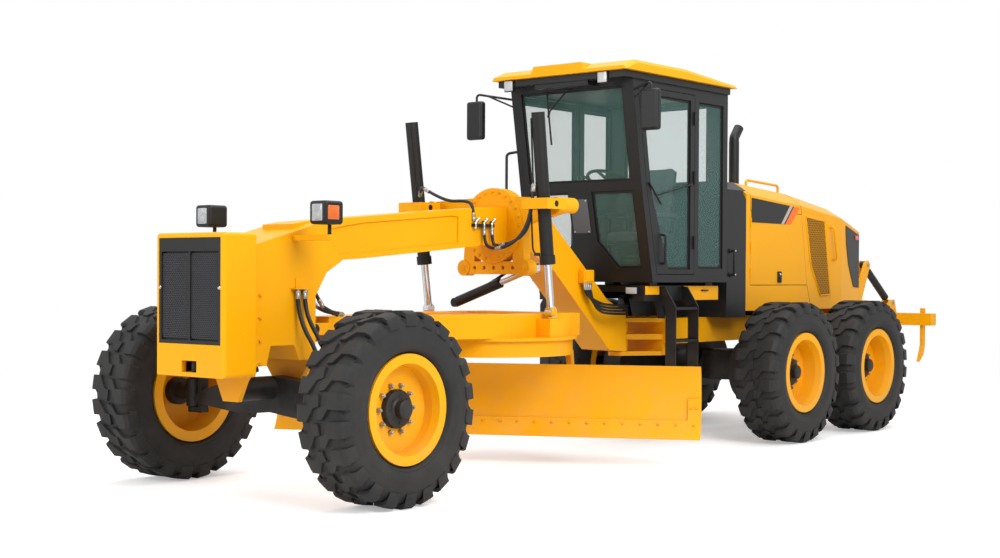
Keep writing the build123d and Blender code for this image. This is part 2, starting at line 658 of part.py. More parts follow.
# ---------------------------------------------------------------- saddle
trunnion = (4030.0, 690.0, 2170.0)      # middle of the left lift cylinder's trunnion
rod_eye = (3915.0, 680.0, 1290.0)       # eye at the foot of the left lift rod
gimbal_tube_radius = 45.0
gimbal_rear_x = 3640.0
gimbal_gap = 1.0
saddle_bar_z = 1650.0
saddle_bar_half = 330.0
saddle_plate_half = 45.0
boss_half = 55.0            # half length of the bosses at the lock bar's ends
shift_barrel_radius = 44.0
shift_eye_half = 22.0
shift_pin_radius = 24.0
sleeve = (gimbal_rear_x, ring_x + 80)   # ends of the gimbal sleeves
saddle = rod((ring_x - ring_half, 0, ring_z), (ring_x + ring_half, 0, ring_z), ring_outer)
saddle += cross_plate([(-ring_outer + 10, ring_z), (ring_outer - 10, ring_z), (trunnion[1], trunnion[2] - 70),
                       (trunnion[1], trunnion[2] + 60), (220, ring_z + 240), (-220, ring_z + 240),
                       (-trunnion[1], trunnion[2] + 60), (-trunnion[1], trunnion[2] - 70)],
                      ring_x - saddle_plate_half, ring_x + saddle_plate_half)
saddle += both_sides(rod((sleeve[0], trunnion[1], trunnion[2]), (sleeve[1], trunnion[1], trunnion[2]),
                         gimbal_tube_radius + 20))
saddle += block(ring_x - saddle_plate_half, ring_x + saddle_plate_half, -saddle_bar_half, saddle_bar_half,
                saddle_bar_z - 55, saddle_bar_z + 55)
for side in (-1, 1):
    saddle += rod((ring_x - boss_half, side * saddle_bar_half, saddle_bar_z),
                  (ring_x + boss_half, side * saddle_bar_half, saddle_bar_z), 68)
    saddle += cross_plate([(side * (saddle_bar_half - 110), saddle_bar_z),
                           (side * (saddle_bar_half + 10), saddle_bar_z),
                           (side * (ring_outer - 5), ring_z - 40), (side * (ring_outer - 120), ring_z - 120)],
                          ring_x - saddle_plate_half, ring_x + saddle_plate_half)
for index in range(5):
    y = (index - 2) * 105.0
    saddle -= rod((ring_x - 100, y, saddle_bar_z), (ring_x + 100, y, saddle_bar_z), 17)
saddle -= rod((ring_x - 200, 0, ring_z), (ring_x + 200, 0, ring_z), ring_inner)
saddle -= both_sides(rod((sleeve[0] - 1, trunnion[1], trunnion[2]), (sleeve[1] + 1, trunnion[1], trunnion[2]),
                         gimbal_tube_radius + gimbal_gap))
shift_pin = (ring_x - boss_half - running_gap - shift_barrel_radius, saddle_bar_half, saddle_bar_z)
saddle += rod((shift_pin[0] - shift_eye_half - 4, shift_pin[1], shift_pin[2]),
              (ring_x, shift_pin[1], shift_pin[2]),
              shift_pin_radius)
# the beam passes through the saddle behind and ahead of its ring
saddle -= side_plate(spine, -beam_half - seat_gap, beam_half + seat_gap) - rod(
    (ring_x - ring_half, 0, ring_z), (ring_x + ring_half, 0, ring_z), ring_outer + 200)
put("saddle", saddle)

# ---------------------------------------------------------------- lift cylinders in their gimbals
barrel_radius = 55.0
lift_rod_radius = 32.0
rod_gap = 1.0
barrel_bottom_z, barrel_top_z = 1690.0, 2910.0
lift_up_stroke = 235.0      # room above the rod's piston end when the blade is raised
trunnion_pin_radius = 26.0
gimbal_half = (95.0, 105.0)             # inside of the gimbal frame along X and Y
gimbal_bar = 28.0
gimbal_height = 44.0


def lift_point(z):
    """Point on the left lift cylinder's axis at height z."""
    share = (z - rod_eye[2]) / (trunnion[2] - rod_eye[2])
    return tuple(a + (b - a) * share for a, b in zip(rod_eye, trunnion))


gx, gy = gimbal_half
gimbal = Pos(*trunnion) * (Box(2 * (gx + gimbal_bar), 2 * (gy + gimbal_bar), 2 * gimbal_height)
                           - Box(2 * gx, 2 * gy, 3 * gimbal_height))
gimbal += rod((gimbal_rear_x + 2, trunnion[1], trunnion[2]), (trunnion[0] - gx - 5, trunnion[1], trunnion[2]),
              gimbal_tube_radius)
gimbal -= rod((trunnion[0], trunnion[1] - 200, trunnion[2]), (trunnion[0], trunnion[1] + 200, trunnion[2]),
              trunnion_pin_radius + seat_gap)
put("gimbal_left", gimbal)
put("gimbal_right", mirror(gimbal, about=Plane.XZ))

barrel = rod(lift_point(barrel_bottom_z), lift_point(barrel_top_z), barrel_radius)
barrel += rod(lift_point(barrel_bottom_z - 10), lift_point(barrel_bottom_z + 60), barrel_radius + 10)
barrel += rod((trunnion[0], trunnion[1] - gy - gimbal_bar + 2, trunnion[2]),
              (trunnion[0], trunnion[1] + gy + gimbal_bar - 2, trunnion[2]), trunnion_pin_radius)
barrel += rod((trunnion[0], trunnion[1] - gy + 15, trunnion[2]),
              (trunnion[0], trunnion[1] + gy - 15, trunnion[2]), 40)
barrel -= rod(lift_point(barrel_bottom_z - 40), lift_point(barrel_top_z - 60), lift_rod_radius + rod_gap)
lift_rod = rod(lift_point(rod_eye[2] + 20), lift_point(barrel_top_z - 60 - lift_up_stroke), lift_rod_radius)
lift_rod += Pos(*rod_eye) * Rot(90, 0, 0) * Cylinder(45, 60)
put("lift_barrel_left", barrel)
put("lift_barrel_right", mirror(barrel, about=Plane.XZ))
put("lift_rod_left", lift_rod)
put("lift_rod_right", mirror(lift_rod, about=Plane.XZ))

# ---------------------------------------------------------------- drawbar and its ball
drawbar_z0, drawbar_z1 = 1080.0, 1270.0
wear_plate_z = 1056.0
cross_pin_radius = 38.0
cheek_y0, cheek_y1 = 75.0, 115.0
cheek_half = 45.0
support_radius = 780.0
ball_piece = Pos(*ball) * Cylinder(62, 2 * ball_half_height)
ball_piece += rod((ball[0], -cheek_y1, ball[2]), (ball[0], cheek_y1, ball[2]), cross_pin_radius)
ball_piece -= Pos(*ball) * Cylinder(ball_pin_radius + seat_gap, 400)
put("drawbar_ball", ball_piece)
nose_x = ball[0] - 130
outer = [(3330, 540), (3560, 600), (4350, 600), (nose_x, cheek_y1), (nose_x, -cheek_y1), (4350, -600),
         (3560, -600), (3330, -540)]
inner = [(3520, 330), (3700, 400), (4250, 400), (nose_x - 390, 60), (nose_x - 390, -60), (4250, -400),
         (3700, -400), (3520, -330)]
drawbar = deck_plate(outer, drawbar_z0, drawbar_z1) - deck_plate(inner, drawbar_z0 - 1, drawbar_z1 + 1)
wear_ring = Pos(circle_x, 0, (wear_plate_z + drawbar_z0) / 2) * (
    Cylinder(support_radius, drawbar_z0 - wear_plate_z) - Cylinder(580, 100))
drawbar += wear_ring
drawbar += block(3500, 4290, -70, 70, drawbar_z0, drawbar_z1 - 40)
drawbar += block(4200, 4300, -420, 420, drawbar_z0, drawbar_z1)
for side in (-1, 1):
    y0, y1 = sorted((side * 590, side * (rod_eye[1] + 65)))
    drawbar += block(rod_eye[0] - 95, rod_eye[0] + 95, y0, y1, drawbar_z0, rod_eye[2] - 45 - 12)
    y0, y1 = sorted((side * cheek_y0, side * cheek_y1))
    drawbar += block(nose_x - 40, ball[0], y0, y1, ball[2] - cheek_half, ball[2] + cheek_half)
    drawbar += rod((ball[0], y0, ball[2]), (ball[0], y1, ball[2]), cheek_half)
drawbar += block(shift_pin[0] - 90, shift_pin[0] + 90, -600, -380, drawbar_z0, drawbar_z1)
drawbar -= rod((ball[0], -200, ball[2]), (ball[0], 200, ball[2]), cross_pin_radius + seat_gap)
put("drawbar", drawbar)

# ---------------------------------------------------------------- side shift cylinder
# The rod hangs from the back of the lock bar and the barrel reaches the drawbar's right side.
shift_rod_radius = 26.0
shift_eye = (shift_pin[0], -560.0, drawbar_z1 + 75.0)   # barrel's eye, above the drawbar


def shift_point(share):
    """Point along the side shift cylinder, from the saddle end."""
    return tuple(a + (b - a) * share for a, b in zip(shift_pin, shift_eye))


def shift_eye_boss(place, radius):
    """Round boss along X at either end of the cylinder."""
    return rod((place[0] - shift_eye_half, place[1], place[2]),
               (place[0] + shift_eye_half, place[1], place[2]), radius)


shift_rod = rod(shift_point(0.04), shift_point(0.76), shift_rod_radius) + shift_eye_boss(shift_pin, 46)
shift_rod -= rod((shift_pin[0] - 60, shift_pin[1], shift_pin[2]),
                 (shift_pin[0] + 60, shift_pin[1], shift_pin[2]),
                 shift_pin_radius + seat_gap)
shift_barrel = rod(shift_point(0.42), shift_point(0.97), shift_barrel_radius) + shift_eye_boss(shift_eye, 40)
shift_barrel -= rod(shift_point(0.40), shift_point(0.90), shift_rod_radius + rod_gap)
put("shift_rod", shift_rod)
put("shift_barrel", shift_barrel)

# ---------------------------------------------------------------- circle with its arms
circle_outer, circle_inner = 745.0, 600.0
circle_z0 = 925.0
circle_z1 = wear_plate_z - seat_gap
turn = Pos(circle_x, 0, 0) * Rot(0, 0, blade_angle)      # blade frame: +X ahead of the blade, +Y to its left end
hinge_low = (-130.0, 420.0)             # (x, z) of the tilt hinge in the blade frame
tilt_pin_radius = 26.0
tilt_boss_radius = 46.0
arm_y = 700.0
arm_half = 22.0
ring = Pos(0, 0, (circle_z0 + circle_z1) / 2) * (Cylinder(circle_outer, circle_z1 - circle_z0)
                                                 - Cylinder(circle_inner, 300))
# the arm stays behind the blade's sweep as it tilts
arm = side_plate([(-250, circle_z0 + 30), (-60, circle_z0 + 30), (-60, circle_z0 - 10),
                  (-112, circle_z0 - 30),
                  (-190, 760), (-170, 440), (-175, 385), (-330, 560), (-330, 800)],
                 arm_y - arm_half, arm_y + arm_half)
arm += rod((hinge_low[0], arm_y - arm_half, hinge_low[1]), (hinge_low[0], arm_y + arm_half, hinge_low[1]),
           tilt_boss_radius)
arm -= rod((hinge_low[0], arm_y - 40, hinge_low[1]), (hinge_low[0], arm_y + 40, hinge_low[1]),
           tilt_pin_radius + seat_gap)
ring += both_sides(arm)
put("circle", turn * ring)

# ---------------------------------------------------------------- blade with its slide rails and bracket
blade_thick = 20.0
edge_thick = 16.0
face_radius = 480.0
edge_height = 150.0
bracket_thick = 60.0
bracket_y = arm_y - arm_half - running_gap - bracket_thick
slide_back_x = -75.0        # back of the slide rails
slide_z = (hinge_low[1] - 60, hinge_low[1] + 200)


blade_mid_z = blade_ground_gap + blade_height / 2 + 20


def blade_section(radius_front, radius_back, z0, z1):
    """Curved plate section between two heights, about the blade's centre of curvature."""
    mid = blade_mid_z
    edges = []
    rows = []
    for radius in (radius_front, radius_back):
        rows.append([Vector(face_radius - math.sqrt(radius ** 2 - (z - mid) ** 2), 0, z)
                     for z in (z0, (z0 + z1) / 2, z1)])
    front, back = rows
    edges.append(ThreePointArc(*front))
    edges.append(Line(front[2], back[2]))
    edges.append(ThreePointArc(*reversed(back)))
    edges.append(Line(back[0], front[0]))
    return make_face(edges)


def along_blade(face):
    """Section drawn out to the blade's full length."""
    return extrude(face, amount=blade_length / 2, dir=(0, 1, 0), both=True)


moldboard = along_blade(blade_section(face_radius, face_radius + blade_thick, blade_ground_gap + 40,
                                      blade_ground_gap + blade_height))
edge = along_blade(blade_section(face_radius - edge_thick - seat_gap, face_radius - seat_gap,
                                 blade_ground_gap,
                                 blade_ground_gap + edge_height))
face_axis = ((face_radius, -2000, blade_mid_z), (face_radius, 2000, blade_mid_z))
for z in slide_z:
    rail = block(slide_back_x, 100, -1300, 1300, z - 25, z + 25)
    moldboard += rail - rod(*face_axis, face_radius + blade_thick / 2)
put("moldboard", turn * moldboard)
end_bit = along_blade(blade_section(face_radius - edge_thick - seat_gap, face_radius - seat_gap,
                                    blade_ground_gap,
                                    blade_ground_gap + 330))
for side in (-1, 1):
    y0, y1 = sorted((side * (blade_length / 2 - 110), side * blade_length / 2))
    edge += end_bit & block(-200, 200, y0, y1, 0, 1000)
put("cutting_edge", turn * edge)
bracket = side_plate([(hinge_low[0] - 45, hinge_low[1] - 45), (slide_back_x - seat_gap, hinge_low[1] - 95),
                      (slide_back_x - seat_gap, slide_z[1] + 35), (hinge_low[0] - 30, slide_z[1] + 20)],
                     bracket_y, bracket_y + bracket_thick)
bracket += rod((hinge_low[0], bracket_y + 10, hinge_low[1]), (hinge_low[0], arm_y + arm_half + 12,
                                                              hinge_low[1]),
               tilt_pin_radius)
bracket = both_sides(bracket) + block(hinge_low[0] - 20, slide_back_x - 10, -bracket_y - 5, bracket_y + 5,
                                      hinge_low[1] + 20, hinge_low[1] + 110)
put("blade_bracket", turn * bracket)

# ---------------------------------------------------------------- front axle
lean_y, lean_z = 800.0, 640.0
lean_pin_radius = 28.0
lean_boss_radius = 50.0
fork_half_x = 66.0
fork_end_radius = 45.0
yoke_half_x = 36.0
king_y = 945.0
king_pin_radius = 28.0
king_eye_radius = 44.0
king_boss_radius = 58.0
king_arm_z = (524.0, 784.0)             # under sides of the yoke's lower and upper arms
king_arm_thick = 40.0
axle_hub_radius = 85.0
front_disc_back_y = track / 2 + front_disc_offset - disc_thick

half_axle = [(lean_y, lean_z - fork_end_radius), (lean_y, lean_z + fork_end_radius),
             (lean_y - 60, lean_z + 75),
             (300, pin_z + 60), (0, pin_z + axle_hub_radius), (0, lean_z - 60), (300, lean_z - 90)]
half_axle = cross_plate(half_axle, wheelbase - fork_half_x, wheelbase + fork_half_x)
half_axle += rod((wheelbase - fork_half_x, lean_y, lean_z), (wheelbase + fork_half_x, lean_y, lean_z),
                 fork_end_radius)
front_axle = both_sides(half_axle)
hub_front_x = hanger_x[1] - running_gap
front_axle += rod((wheelbase - fork_half_x, 0, pin_z), (hub_front_x, 0, pin_z), axle_hub_radius)
slot = block(wheelbase - yoke_half_x - running_gap, wheelbase + yoke_half_x + running_gap, lean_y - 90,
             lean_y + 60,
             lean_z - 100, lean_z + 120)
front_axle -= both_sides(slot)
front_axle -= both_sides(rod((wheelbase - 100, lean_y, lean_z), (wheelbase + 100, lean_y, lean_z),
                             lean_pin_radius + seat_gap))
front_axle -= rod((wheelbase - 100, 0, pin_z), (hub_front_x + 10, 0, pin_z), axle_pin_radius + seat_gap)
put("front_axle", front_axle)

web_y = (king_y - 130, king_y - 92)     # yoke web, inboard of the steering arm's sweep
yoke = rod((wheelbase - yoke_half_x, lean_y, lean_z), (wheelbase + yoke_half_x, lean_y, lean_z),
           lean_boss_radius)
yoke += rod((wheelbase - fork_half_x, lean_y, lean_z), (wheelbase + fork_half_x, lean_y, lean_z),
            lean_pin_radius)
yoke += block(wheelbase - yoke_half_x, wheelbase + yoke_half_x, web_y[0], web_y[1], king_arm_z[0],
              king_arm_z[1] + king_arm_thick)
for z in king_arm_z:
    yoke += block(wheelbase - yoke_half_x, wheelbase + yoke_half_x, web_y[0], king_y, z, z + king_arm_thick)
    yoke += Pos(wheelbase, king_y, z + king_arm_thick / 2) * Cylinder(king_eye_radius, king_arm_thick)
yoke += rod((wheelbase, king_y, king_arm_z[0]), (wheelbase, king_y, king_arm_z[1] + king_arm_thick),
            king_pin_radius)
put("lean_yoke_left", yoke)
put("lean_yoke_right", mirror(yoke, about=Plane.XZ))

steer_arm = 110.0           # kingpin to the tie rod's joint
steer_arm_half = 17.0
knuckle_z0 = king_arm_z[0] + king_arm_thick + running_gap
knuckle_z1 = king_arm_z[1] - running_gap
knuckle = rod((wheelbase, king_y, knuckle_z0), (wheelbase, king_y, knuckle_z1), king_boss_radius)
knuckle += rod((wheelbase, king_y, tyre_radius), (wheelbase, front_disc_back_y - seat_gap, tyre_radius), 60)
knuckle += rod((wheelbase, front_disc_back_y - 60, tyre_radius),
               (wheelbase, front_disc_back_y - seat_gap, tyre_radius), 105)
joint_x = wheelbase - steer_arm
knuckle += block(joint_x, wheelbase, king_y - steer_arm_half, king_y + steer_arm_half, lean_z - 20,
                 lean_z + 20)
knuckle += Pos(joint_x, king_y, lean_z) * Cylinder(steer_arm_half, 40)
knuckle -= rod((wheelbase, king_y, knuckle_z0 - 5), (wheelbase, king_y, knuckle_z1 + 5),
               king_pin_radius + seat_gap)
put("knuckle_left", knuckle)
put("knuckle_right", mirror(knuckle, about=Plane.XZ))

tie_rod_radius = 18.0
tie_x = joint_x - steer_arm_half - seat_gap - tie_rod_radius
tie_end = king_y + steer_arm_half
put("tie_rod", rod((tie_x, -tie_end, lean_z), (tie_x, tie_end, lean_z), tie_rod_radius))

# ---------------------------------------------------------------- ripper
beam_pin_low = (lower_pin[0] + link_vector[0], lower_pin[1] + link_vector[1])
beam_pin_high = (upper_pin[0] + link_vector[0], upper_pin[1] + link_vector[1])
ripper_front_x = ripper_rear_x + 140
rod_pin = (ripper_rear_x + 120.0, 1290.0)
shank_count = 5
shank_pitch = 400.0


def link(start, end, half_height):
    """Left and right links between two pins, bored at both."""
    pair = None
    for side in (-1, 1):
        y0, y1 = side * ripper_y - link_half, side * ripper_y + link_half
        a, b = Vector(start[0], 0, start[1]), Vector(end[0], 0, end[1])
        run = (b - a).normalized()
        across = Vector(-run.Z, 0, run.X) * half_height
        bar = side_plate([(p.X, p.Z) for p in (a + across, b + across, b - across, a - across)], y0, y1)
        for place in (start, end):
            bar += rod((place[0], y0, place[1]), (place[0], y1, place[1]), half_height)
        for place in (start, end):
            bar -= rod((place[0], y0 - 5, place[1]), (place[0], y1 + 5, place[1]), link_pin_radius + seat_gap)
        pair = bar if pair is None else pair + bar
    return pair


put("ripper_lower_links", link(lower_pin, beam_pin_low, 40))
put("ripper_upper_links", link(upper_pin, beam_pin_high, 36))

ripper = block(ripper_rear_x, ripper_front_x, -930, 930, *ripper_beam_z)
bracket_low = [(ripper_front_x - 5, ripper_beam_z[0] - 60), (beam_pin_low[0] + 45, beam_pin_low[1] - 45),
               (beam_pin_high[0] + 45, beam_pin_high[1] + 40), (rod_pin[0] + 40, rod_pin[1] + 35),
               (rod_pin[0] - 40, rod_pin[1] + 35), (ripper_rear_x + 20, ripper_beam_z[1] - 5),
               (ripper_front_x - 5, ripper_beam_z[1] - 5)]
for side in (-1, 1):
    ripper += ear_pair(bracket_low, side)
    for place in (beam_pin_low, beam_pin_high):
        ripper += linkage_pin(place, side)
for index in range(shank_count):
    y = (index - (shank_count - 1) / 2) * shank_pitch
    shank = side_plate([(ripper_rear_x + 45, ripper_beam_z[1] + 60), (ripper_rear_x + 45, 800),
                        (ripper_rear_x + 85, 690),
                        (ripper_rear_x + 190, 610), (ripper_rear_x + 150, 700), (ripper_rear_x + 105, 800),
                        (ripper_rear_x + 105, ripper_beam_z[1] + 60)], y - 20, y + 20)
    ripper += shank
put("ripper", ripper)

cylinder_run = (Vector(rod_pin[0], 0, rod_pin[1]) - Vector(mast_pin[0], 0, mast_pin[1]))


def ripper_point(share, side):
    """Point along a ripper cylinder, from the mast pin."""
    return (mast_pin[0] + cylinder_run.X * share, side * ripper_y, mast_pin[1] + cylinder_run.Z * share)


ripper_barrels = None
ripper_rods = None
for side in (-1, 1):
    y0, y1 = side * ripper_y - link_half, side * ripper_y + link_half
    tube_piece = rod(ripper_point(0.17, side), ripper_point(0.86, side), 42)
    tube_piece += rod((mast_pin[0], y0, mast_pin[1]), (mast_pin[0], y1, mast_pin[1]), 42)
    tube_piece += rod(ripper_point(0.0, side), ripper_point(0.19, side), 26)
    tube_piece -= rod((mast_pin[0], y0 - 5, mast_pin[1]), (mast_pin[0], y1 + 5, mast_pin[1]),
                      link_pin_radius + seat_gap)
    tube_piece -= rod(ripper_point(0.22, side), ripper_point(0.9, side), 22 + rod_gap)
    ripper_barrels = tube_piece if ripper_barrels is None else ripper_barrels + tube_piece
    rod_piece = rod(ripper_point(0.24, side), ripper_point(1.0, side), 22)
    rod_piece += rod((rod_pin[0], y0, rod_pin[1]), (rod_pin[0], y1, rod_pin[1]), 32)
    ripper_rods = rod_piece if ripper_rods is None else ripper_rods + rod_piece
put("ripper_barrels", ripper_barrels)
put("ripper_rods", ripper_rods)

for name, shape in nodes.items():
    export_step(shape, f"parts/{name}.step")
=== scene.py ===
import math
import bpy
from mathutils import Matrix, Quaternion, Vector


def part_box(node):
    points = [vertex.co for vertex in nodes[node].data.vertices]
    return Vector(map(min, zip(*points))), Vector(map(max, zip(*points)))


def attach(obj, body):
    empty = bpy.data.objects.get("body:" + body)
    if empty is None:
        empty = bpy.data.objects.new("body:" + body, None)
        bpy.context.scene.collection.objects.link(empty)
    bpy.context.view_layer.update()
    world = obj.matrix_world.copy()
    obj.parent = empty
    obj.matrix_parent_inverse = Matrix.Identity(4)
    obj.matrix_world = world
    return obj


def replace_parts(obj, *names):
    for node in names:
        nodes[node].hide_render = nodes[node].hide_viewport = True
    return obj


# Six-wheel motor grader in fresh yellow paint. Metres, +X forward, +Y to the machine's left, +Z up.
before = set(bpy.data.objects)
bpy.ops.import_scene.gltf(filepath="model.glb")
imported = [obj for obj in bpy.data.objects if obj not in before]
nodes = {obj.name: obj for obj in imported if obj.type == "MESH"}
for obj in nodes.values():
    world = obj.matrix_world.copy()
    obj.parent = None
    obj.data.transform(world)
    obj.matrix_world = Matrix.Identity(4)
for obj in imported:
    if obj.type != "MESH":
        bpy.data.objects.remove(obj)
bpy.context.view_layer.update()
bpy.ops.object.select_all(action="DESELECT")

# ---------------------------------------------------------------- studio
# The machine stands on a plain pale floor in soft overhead light. The camera is at walking height,
# ahead of the left front wheel, with a slightly long lens.
bpy.context.scene.view_settings.view_transform = "Standard"
camera_data = bpy.data.cameras.new("studio_camera")
camera = bpy.data.objects.new("studio_camera", camera_data)
bpy.context.scene.collection.objects.link(camera)
bpy.context.scene.camera = camera
camera_place = Vector((11.7703, 8.3368, 1.585))
camera_yaw, camera_pitch, camera_roll = math.radians(219.865), math.radians(-0.76), 0.0054
looking = Vector((
    math.cos(camera_pitch) * math.cos(camera_yaw),
    math.cos(camera_pitch) * math.sin(camera_yaw),
    math.sin(camera_pitch),
))
turned = looking.to_track_quat("-Z", "Y") @ Quaternion((0, 0, 1), camera_roll)
camera.matrix_world = Matrix.Translation(camera_place) @ turned.to_matrix().to_4x4()
camera_data.lens = 54.66
camera_data.sensor_width = 36.0
camera_data.shift_x = 0.0036
camera_data.shift_y = 0.0166
camera_data.clip_end = 200.0


def area_lamp(name, place, target, size, power):
    """Square soft box hung at a place and turned to a target."""
    lamp_data = bpy.data.lights.new(name, "AREA")
    lamp_data.size = size
    lamp_data.energy = power
    lamp = bpy.data.objects.new(name, lamp_data)
    bpy.context.scene.collection.objects.link(lamp)
    aim = (Vector(target) - Vector(place)).to_track_quat("-Z", "Y")
    lamp.matrix_world = Matrix.Translation(place) @ aim.to_matrix().to_4x4()


area_lamp("key_softbox", (6.0, 11.0, 9.0), (0.5, 0.0, 1.2), size=7.0, power=1500.0)
area_lamp("front_softbox", (14.0, -3.0, 6.0), (1.0, 0.0, 1.2), size=6.0, power=650.0)
area_lamp("top_softbox", (-1.0, 0.0, 12.0), (0.0, 0.0, 0.0), size=12.0, power=1100.0)


def feed(tree, node, inputs):
    """Gives inputs of a node plain values or the outputs of other nodes."""
    for label, value in inputs.items():
        if isinstance(value, bpy.types.NodeSocket):
            tree.links.new(value, node.inputs[label])
        else:
            node.inputs[label].default_value = value


def add_node(tree, kind, inputs=None, **settings):
    """New shader node with its settings and inputs."""
    node = tree.nodes.new(f"ShaderNode{kind}")
    for setting, value in settings.items():
        setattr(node, setting, value)
    feed(tree, node, inputs or {})
    return node


def maths(tree, operation, first, second, clamp=False):
    """Math node on two sockets or numbers."""
    return add_node(tree, "Math", {0: first, 1: second}, operation=operation, use_clamp=clamp).outputs[0]


def mix_shaders(tree, share, first, second):
    """Blend of two shaders, all of the second where the share is 1."""
    return add_node(tree, "MixShader", {0: share, 1: first.outputs[0], 2: second.outputs[0]})


def new_material(name):
    """Material with its node tree and its shader."""
    material = bpy.data.materials.new(name)
    material.use_nodes = True
    return material, material.node_tree, material.node_tree.nodes["Principled BSDF"]


# the sky lights the machine softly, and is white where it is seen, straight, in gloss or through glass
white = (1.0, 1.0, 1.0, 1.0)
world = bpy.data.worlds.new("studio_world")
bpy.context.scene.world = world
world.use_nodes = True
sky = world.node_tree
sky.nodes.clear()
sky_ray = add_node(sky, "LightPath").outputs
sky_seen = maths(sky, "MAXIMUM", sky_ray["Is Camera Ray"], sky_ray["Is Transmission Ray"])
sky_seen = maths(sky, "MAXIMUM", sky_seen, sky_ray["Is Glossy Ray"])
sky_light = add_node(sky, "Background", {"Color": white, "Strength": 0.42})
sky_white = add_node(sky, "Background", {"Color": white, "Strength": 1.0})
add_node(sky, "OutputWorld", {"Surface": mix_shaders(sky, sky_seen, sky_light, sky_white).outputs[0]})

# the floor takes the shadow near the machine and fades to plain white away from it
floor_near, floor_far, floor_size = 6.0, 12.0, 90.0
bpy.ops.mesh.primitive_grid_add(x_subdivisions=8, y_subdivisions=8, size=floor_size, location=(0.0, 0.0, 0.0))
floor = bpy.context.active_object
floor.name = "studio_floor"
floor_paint, floor_tree, floor_shader = new_material("studio_floor")
feed(floor_tree, floor_shader, {"Base Color": (0.9, 0.9, 0.9, 1.0), "Roughness": 0.6, "Specular IOR Level": 0.2})
floor_glow = add_node(floor_tree, "Emission", {"Strength": 0.35})
floor_white = add_node(floor_tree, "Emission", {"Strength": 1.0})
floor_lit = add_node(floor_tree, "AddShader", {0: floor_shader.outputs[0], 1: floor_glow.outputs[0]})
floor_place = add_node(floor_tree, "TexCoord").outputs["Object"]
floor_reach = add_node(floor_tree, "VectorMath", {0: floor_place}, operation="LENGTH").outputs["Value"]
floor_fade = add_node(floor_tree, "MapRange", {"Value": floor_reach, "From Min": floor_near, "From Max": floor_far})
floor_view = mix_shaders(floor_tree, floor_fade.outputs["Result"], floor_lit, floor_white)
floor_ray = add_node(floor_tree, "LightPath").outputs["Is Camera Ray"]
floor_end = mix_shaders(floor_tree, floor_ray, floor_shader, floor_view)
feed(floor_tree, floor_tree.nodes["Material Output"], {"Surface": floor_end.outputs[0]})
floor.data.materials.append(floor_paint)

# ---------------------------------------------------------------- painted frames
# The frames, hood and blade are welded steel plate under gloss yellow paint; the axles, cases and cab
# are charcoal. The paint has a faint orange peel, softened plate edges and a little dust low down.


def effect_group(name, inputs, outputs):
    """Empty node group with number inputs given as {name: default} and number outputs by name."""
    group = bpy.data.node_groups.new(name, "ShaderNodeTree")
    for label, value in inputs.items():
        socket = group.interface.new_socket(name=label, in_out="INPUT", socket_type="NodeSocketFloat")
        socket.default_value = value
    for label in outputs:
        group.interface.new_socket(name=label, in_out="OUTPUT", socket_type="NodeSocketFloat")
    return group, group.nodes.new("NodeGroupInput").outputs, group.nodes.new("NodeGroupOutput")


def noise(tree, place, scale, detail, roughness=0.5):
    """Noise texture read at a place socket."""
    inputs = {"Vector": place, "Scale": scale, "Detail": detail, "Roughness": roughness}
    return add_node(tree, "TexNoise", inputs).outputs[0]


def blend_colours(tree, share, first, second):
    """Colour mix by a share socket; a colour is a socket or three numbers."""
    first, second = ((*colour, 1.0) if isinstance(colour, tuple) else colour for colour in (first, second))
    return add_node(tree, "Mix", {0: share, 6: first, 7: second}, data_type="RGBA").outputs[2]


# dust that settles low down: a mask, from the height and a cloudy noise
dust_group, dust_in, dust_out = effect_group("settled_dust", {"Reach": 1.0, "Amount": 0.3, "Scale": 3.0}, ["Mask"])
dust_place = add_node(dust_group, "TexCoord").outputs["Object"]
dust_height = add_node(dust_group, "SeparateXYZ", {0: dust_place}).outputs["Z"]
dust_low = maths(dust_group, "SUBTRACT", 1.0, maths(dust_group, "DIVIDE", dust_height, dust_in["Reach"]), clamp=True)
dust_cloud = noise(dust_group, dust_place, dust_in["Scale"], 6.0, 0.62)
dust_patch = add_node(dust_group, "MapRange", {"Value": dust_cloud, "From Min": 0.35, "From Max": 0.75})
dust_mask = maths(dust_group, "MULTIPLY", dust_low, dust_patch.outputs["Result"])
feed(dust_group, dust_out, {"Mask": maths(dust_group, "MULTIPLY", dust_mask, dust_in["Amount"], clamp=True)})

# sprayed surface: a fine height and a slow cloud for colour and gloss
surface_group, surface_in, surface_out = effect_group("sprayed_surface", {"Grain": 400.0, "Cloud": 1.5},
                                                      ["Height", "Cloud"])
surface_place = add_node(surface_group, "TexCoord").outputs["Object"]
feed(surface_group, surface_out, {"Height": noise(surface_group, surface_place, surface_in["Grain"], 2.0),
                                  "Cloud": noise(surface_group, surface_place, surface_in["Cloud"], 4.0)})


def use_group(tree, group, **values):
    """Places a node group with its own values and hands over its outputs."""
    return add_node(tree, "Group", values, node_tree=group).outputs


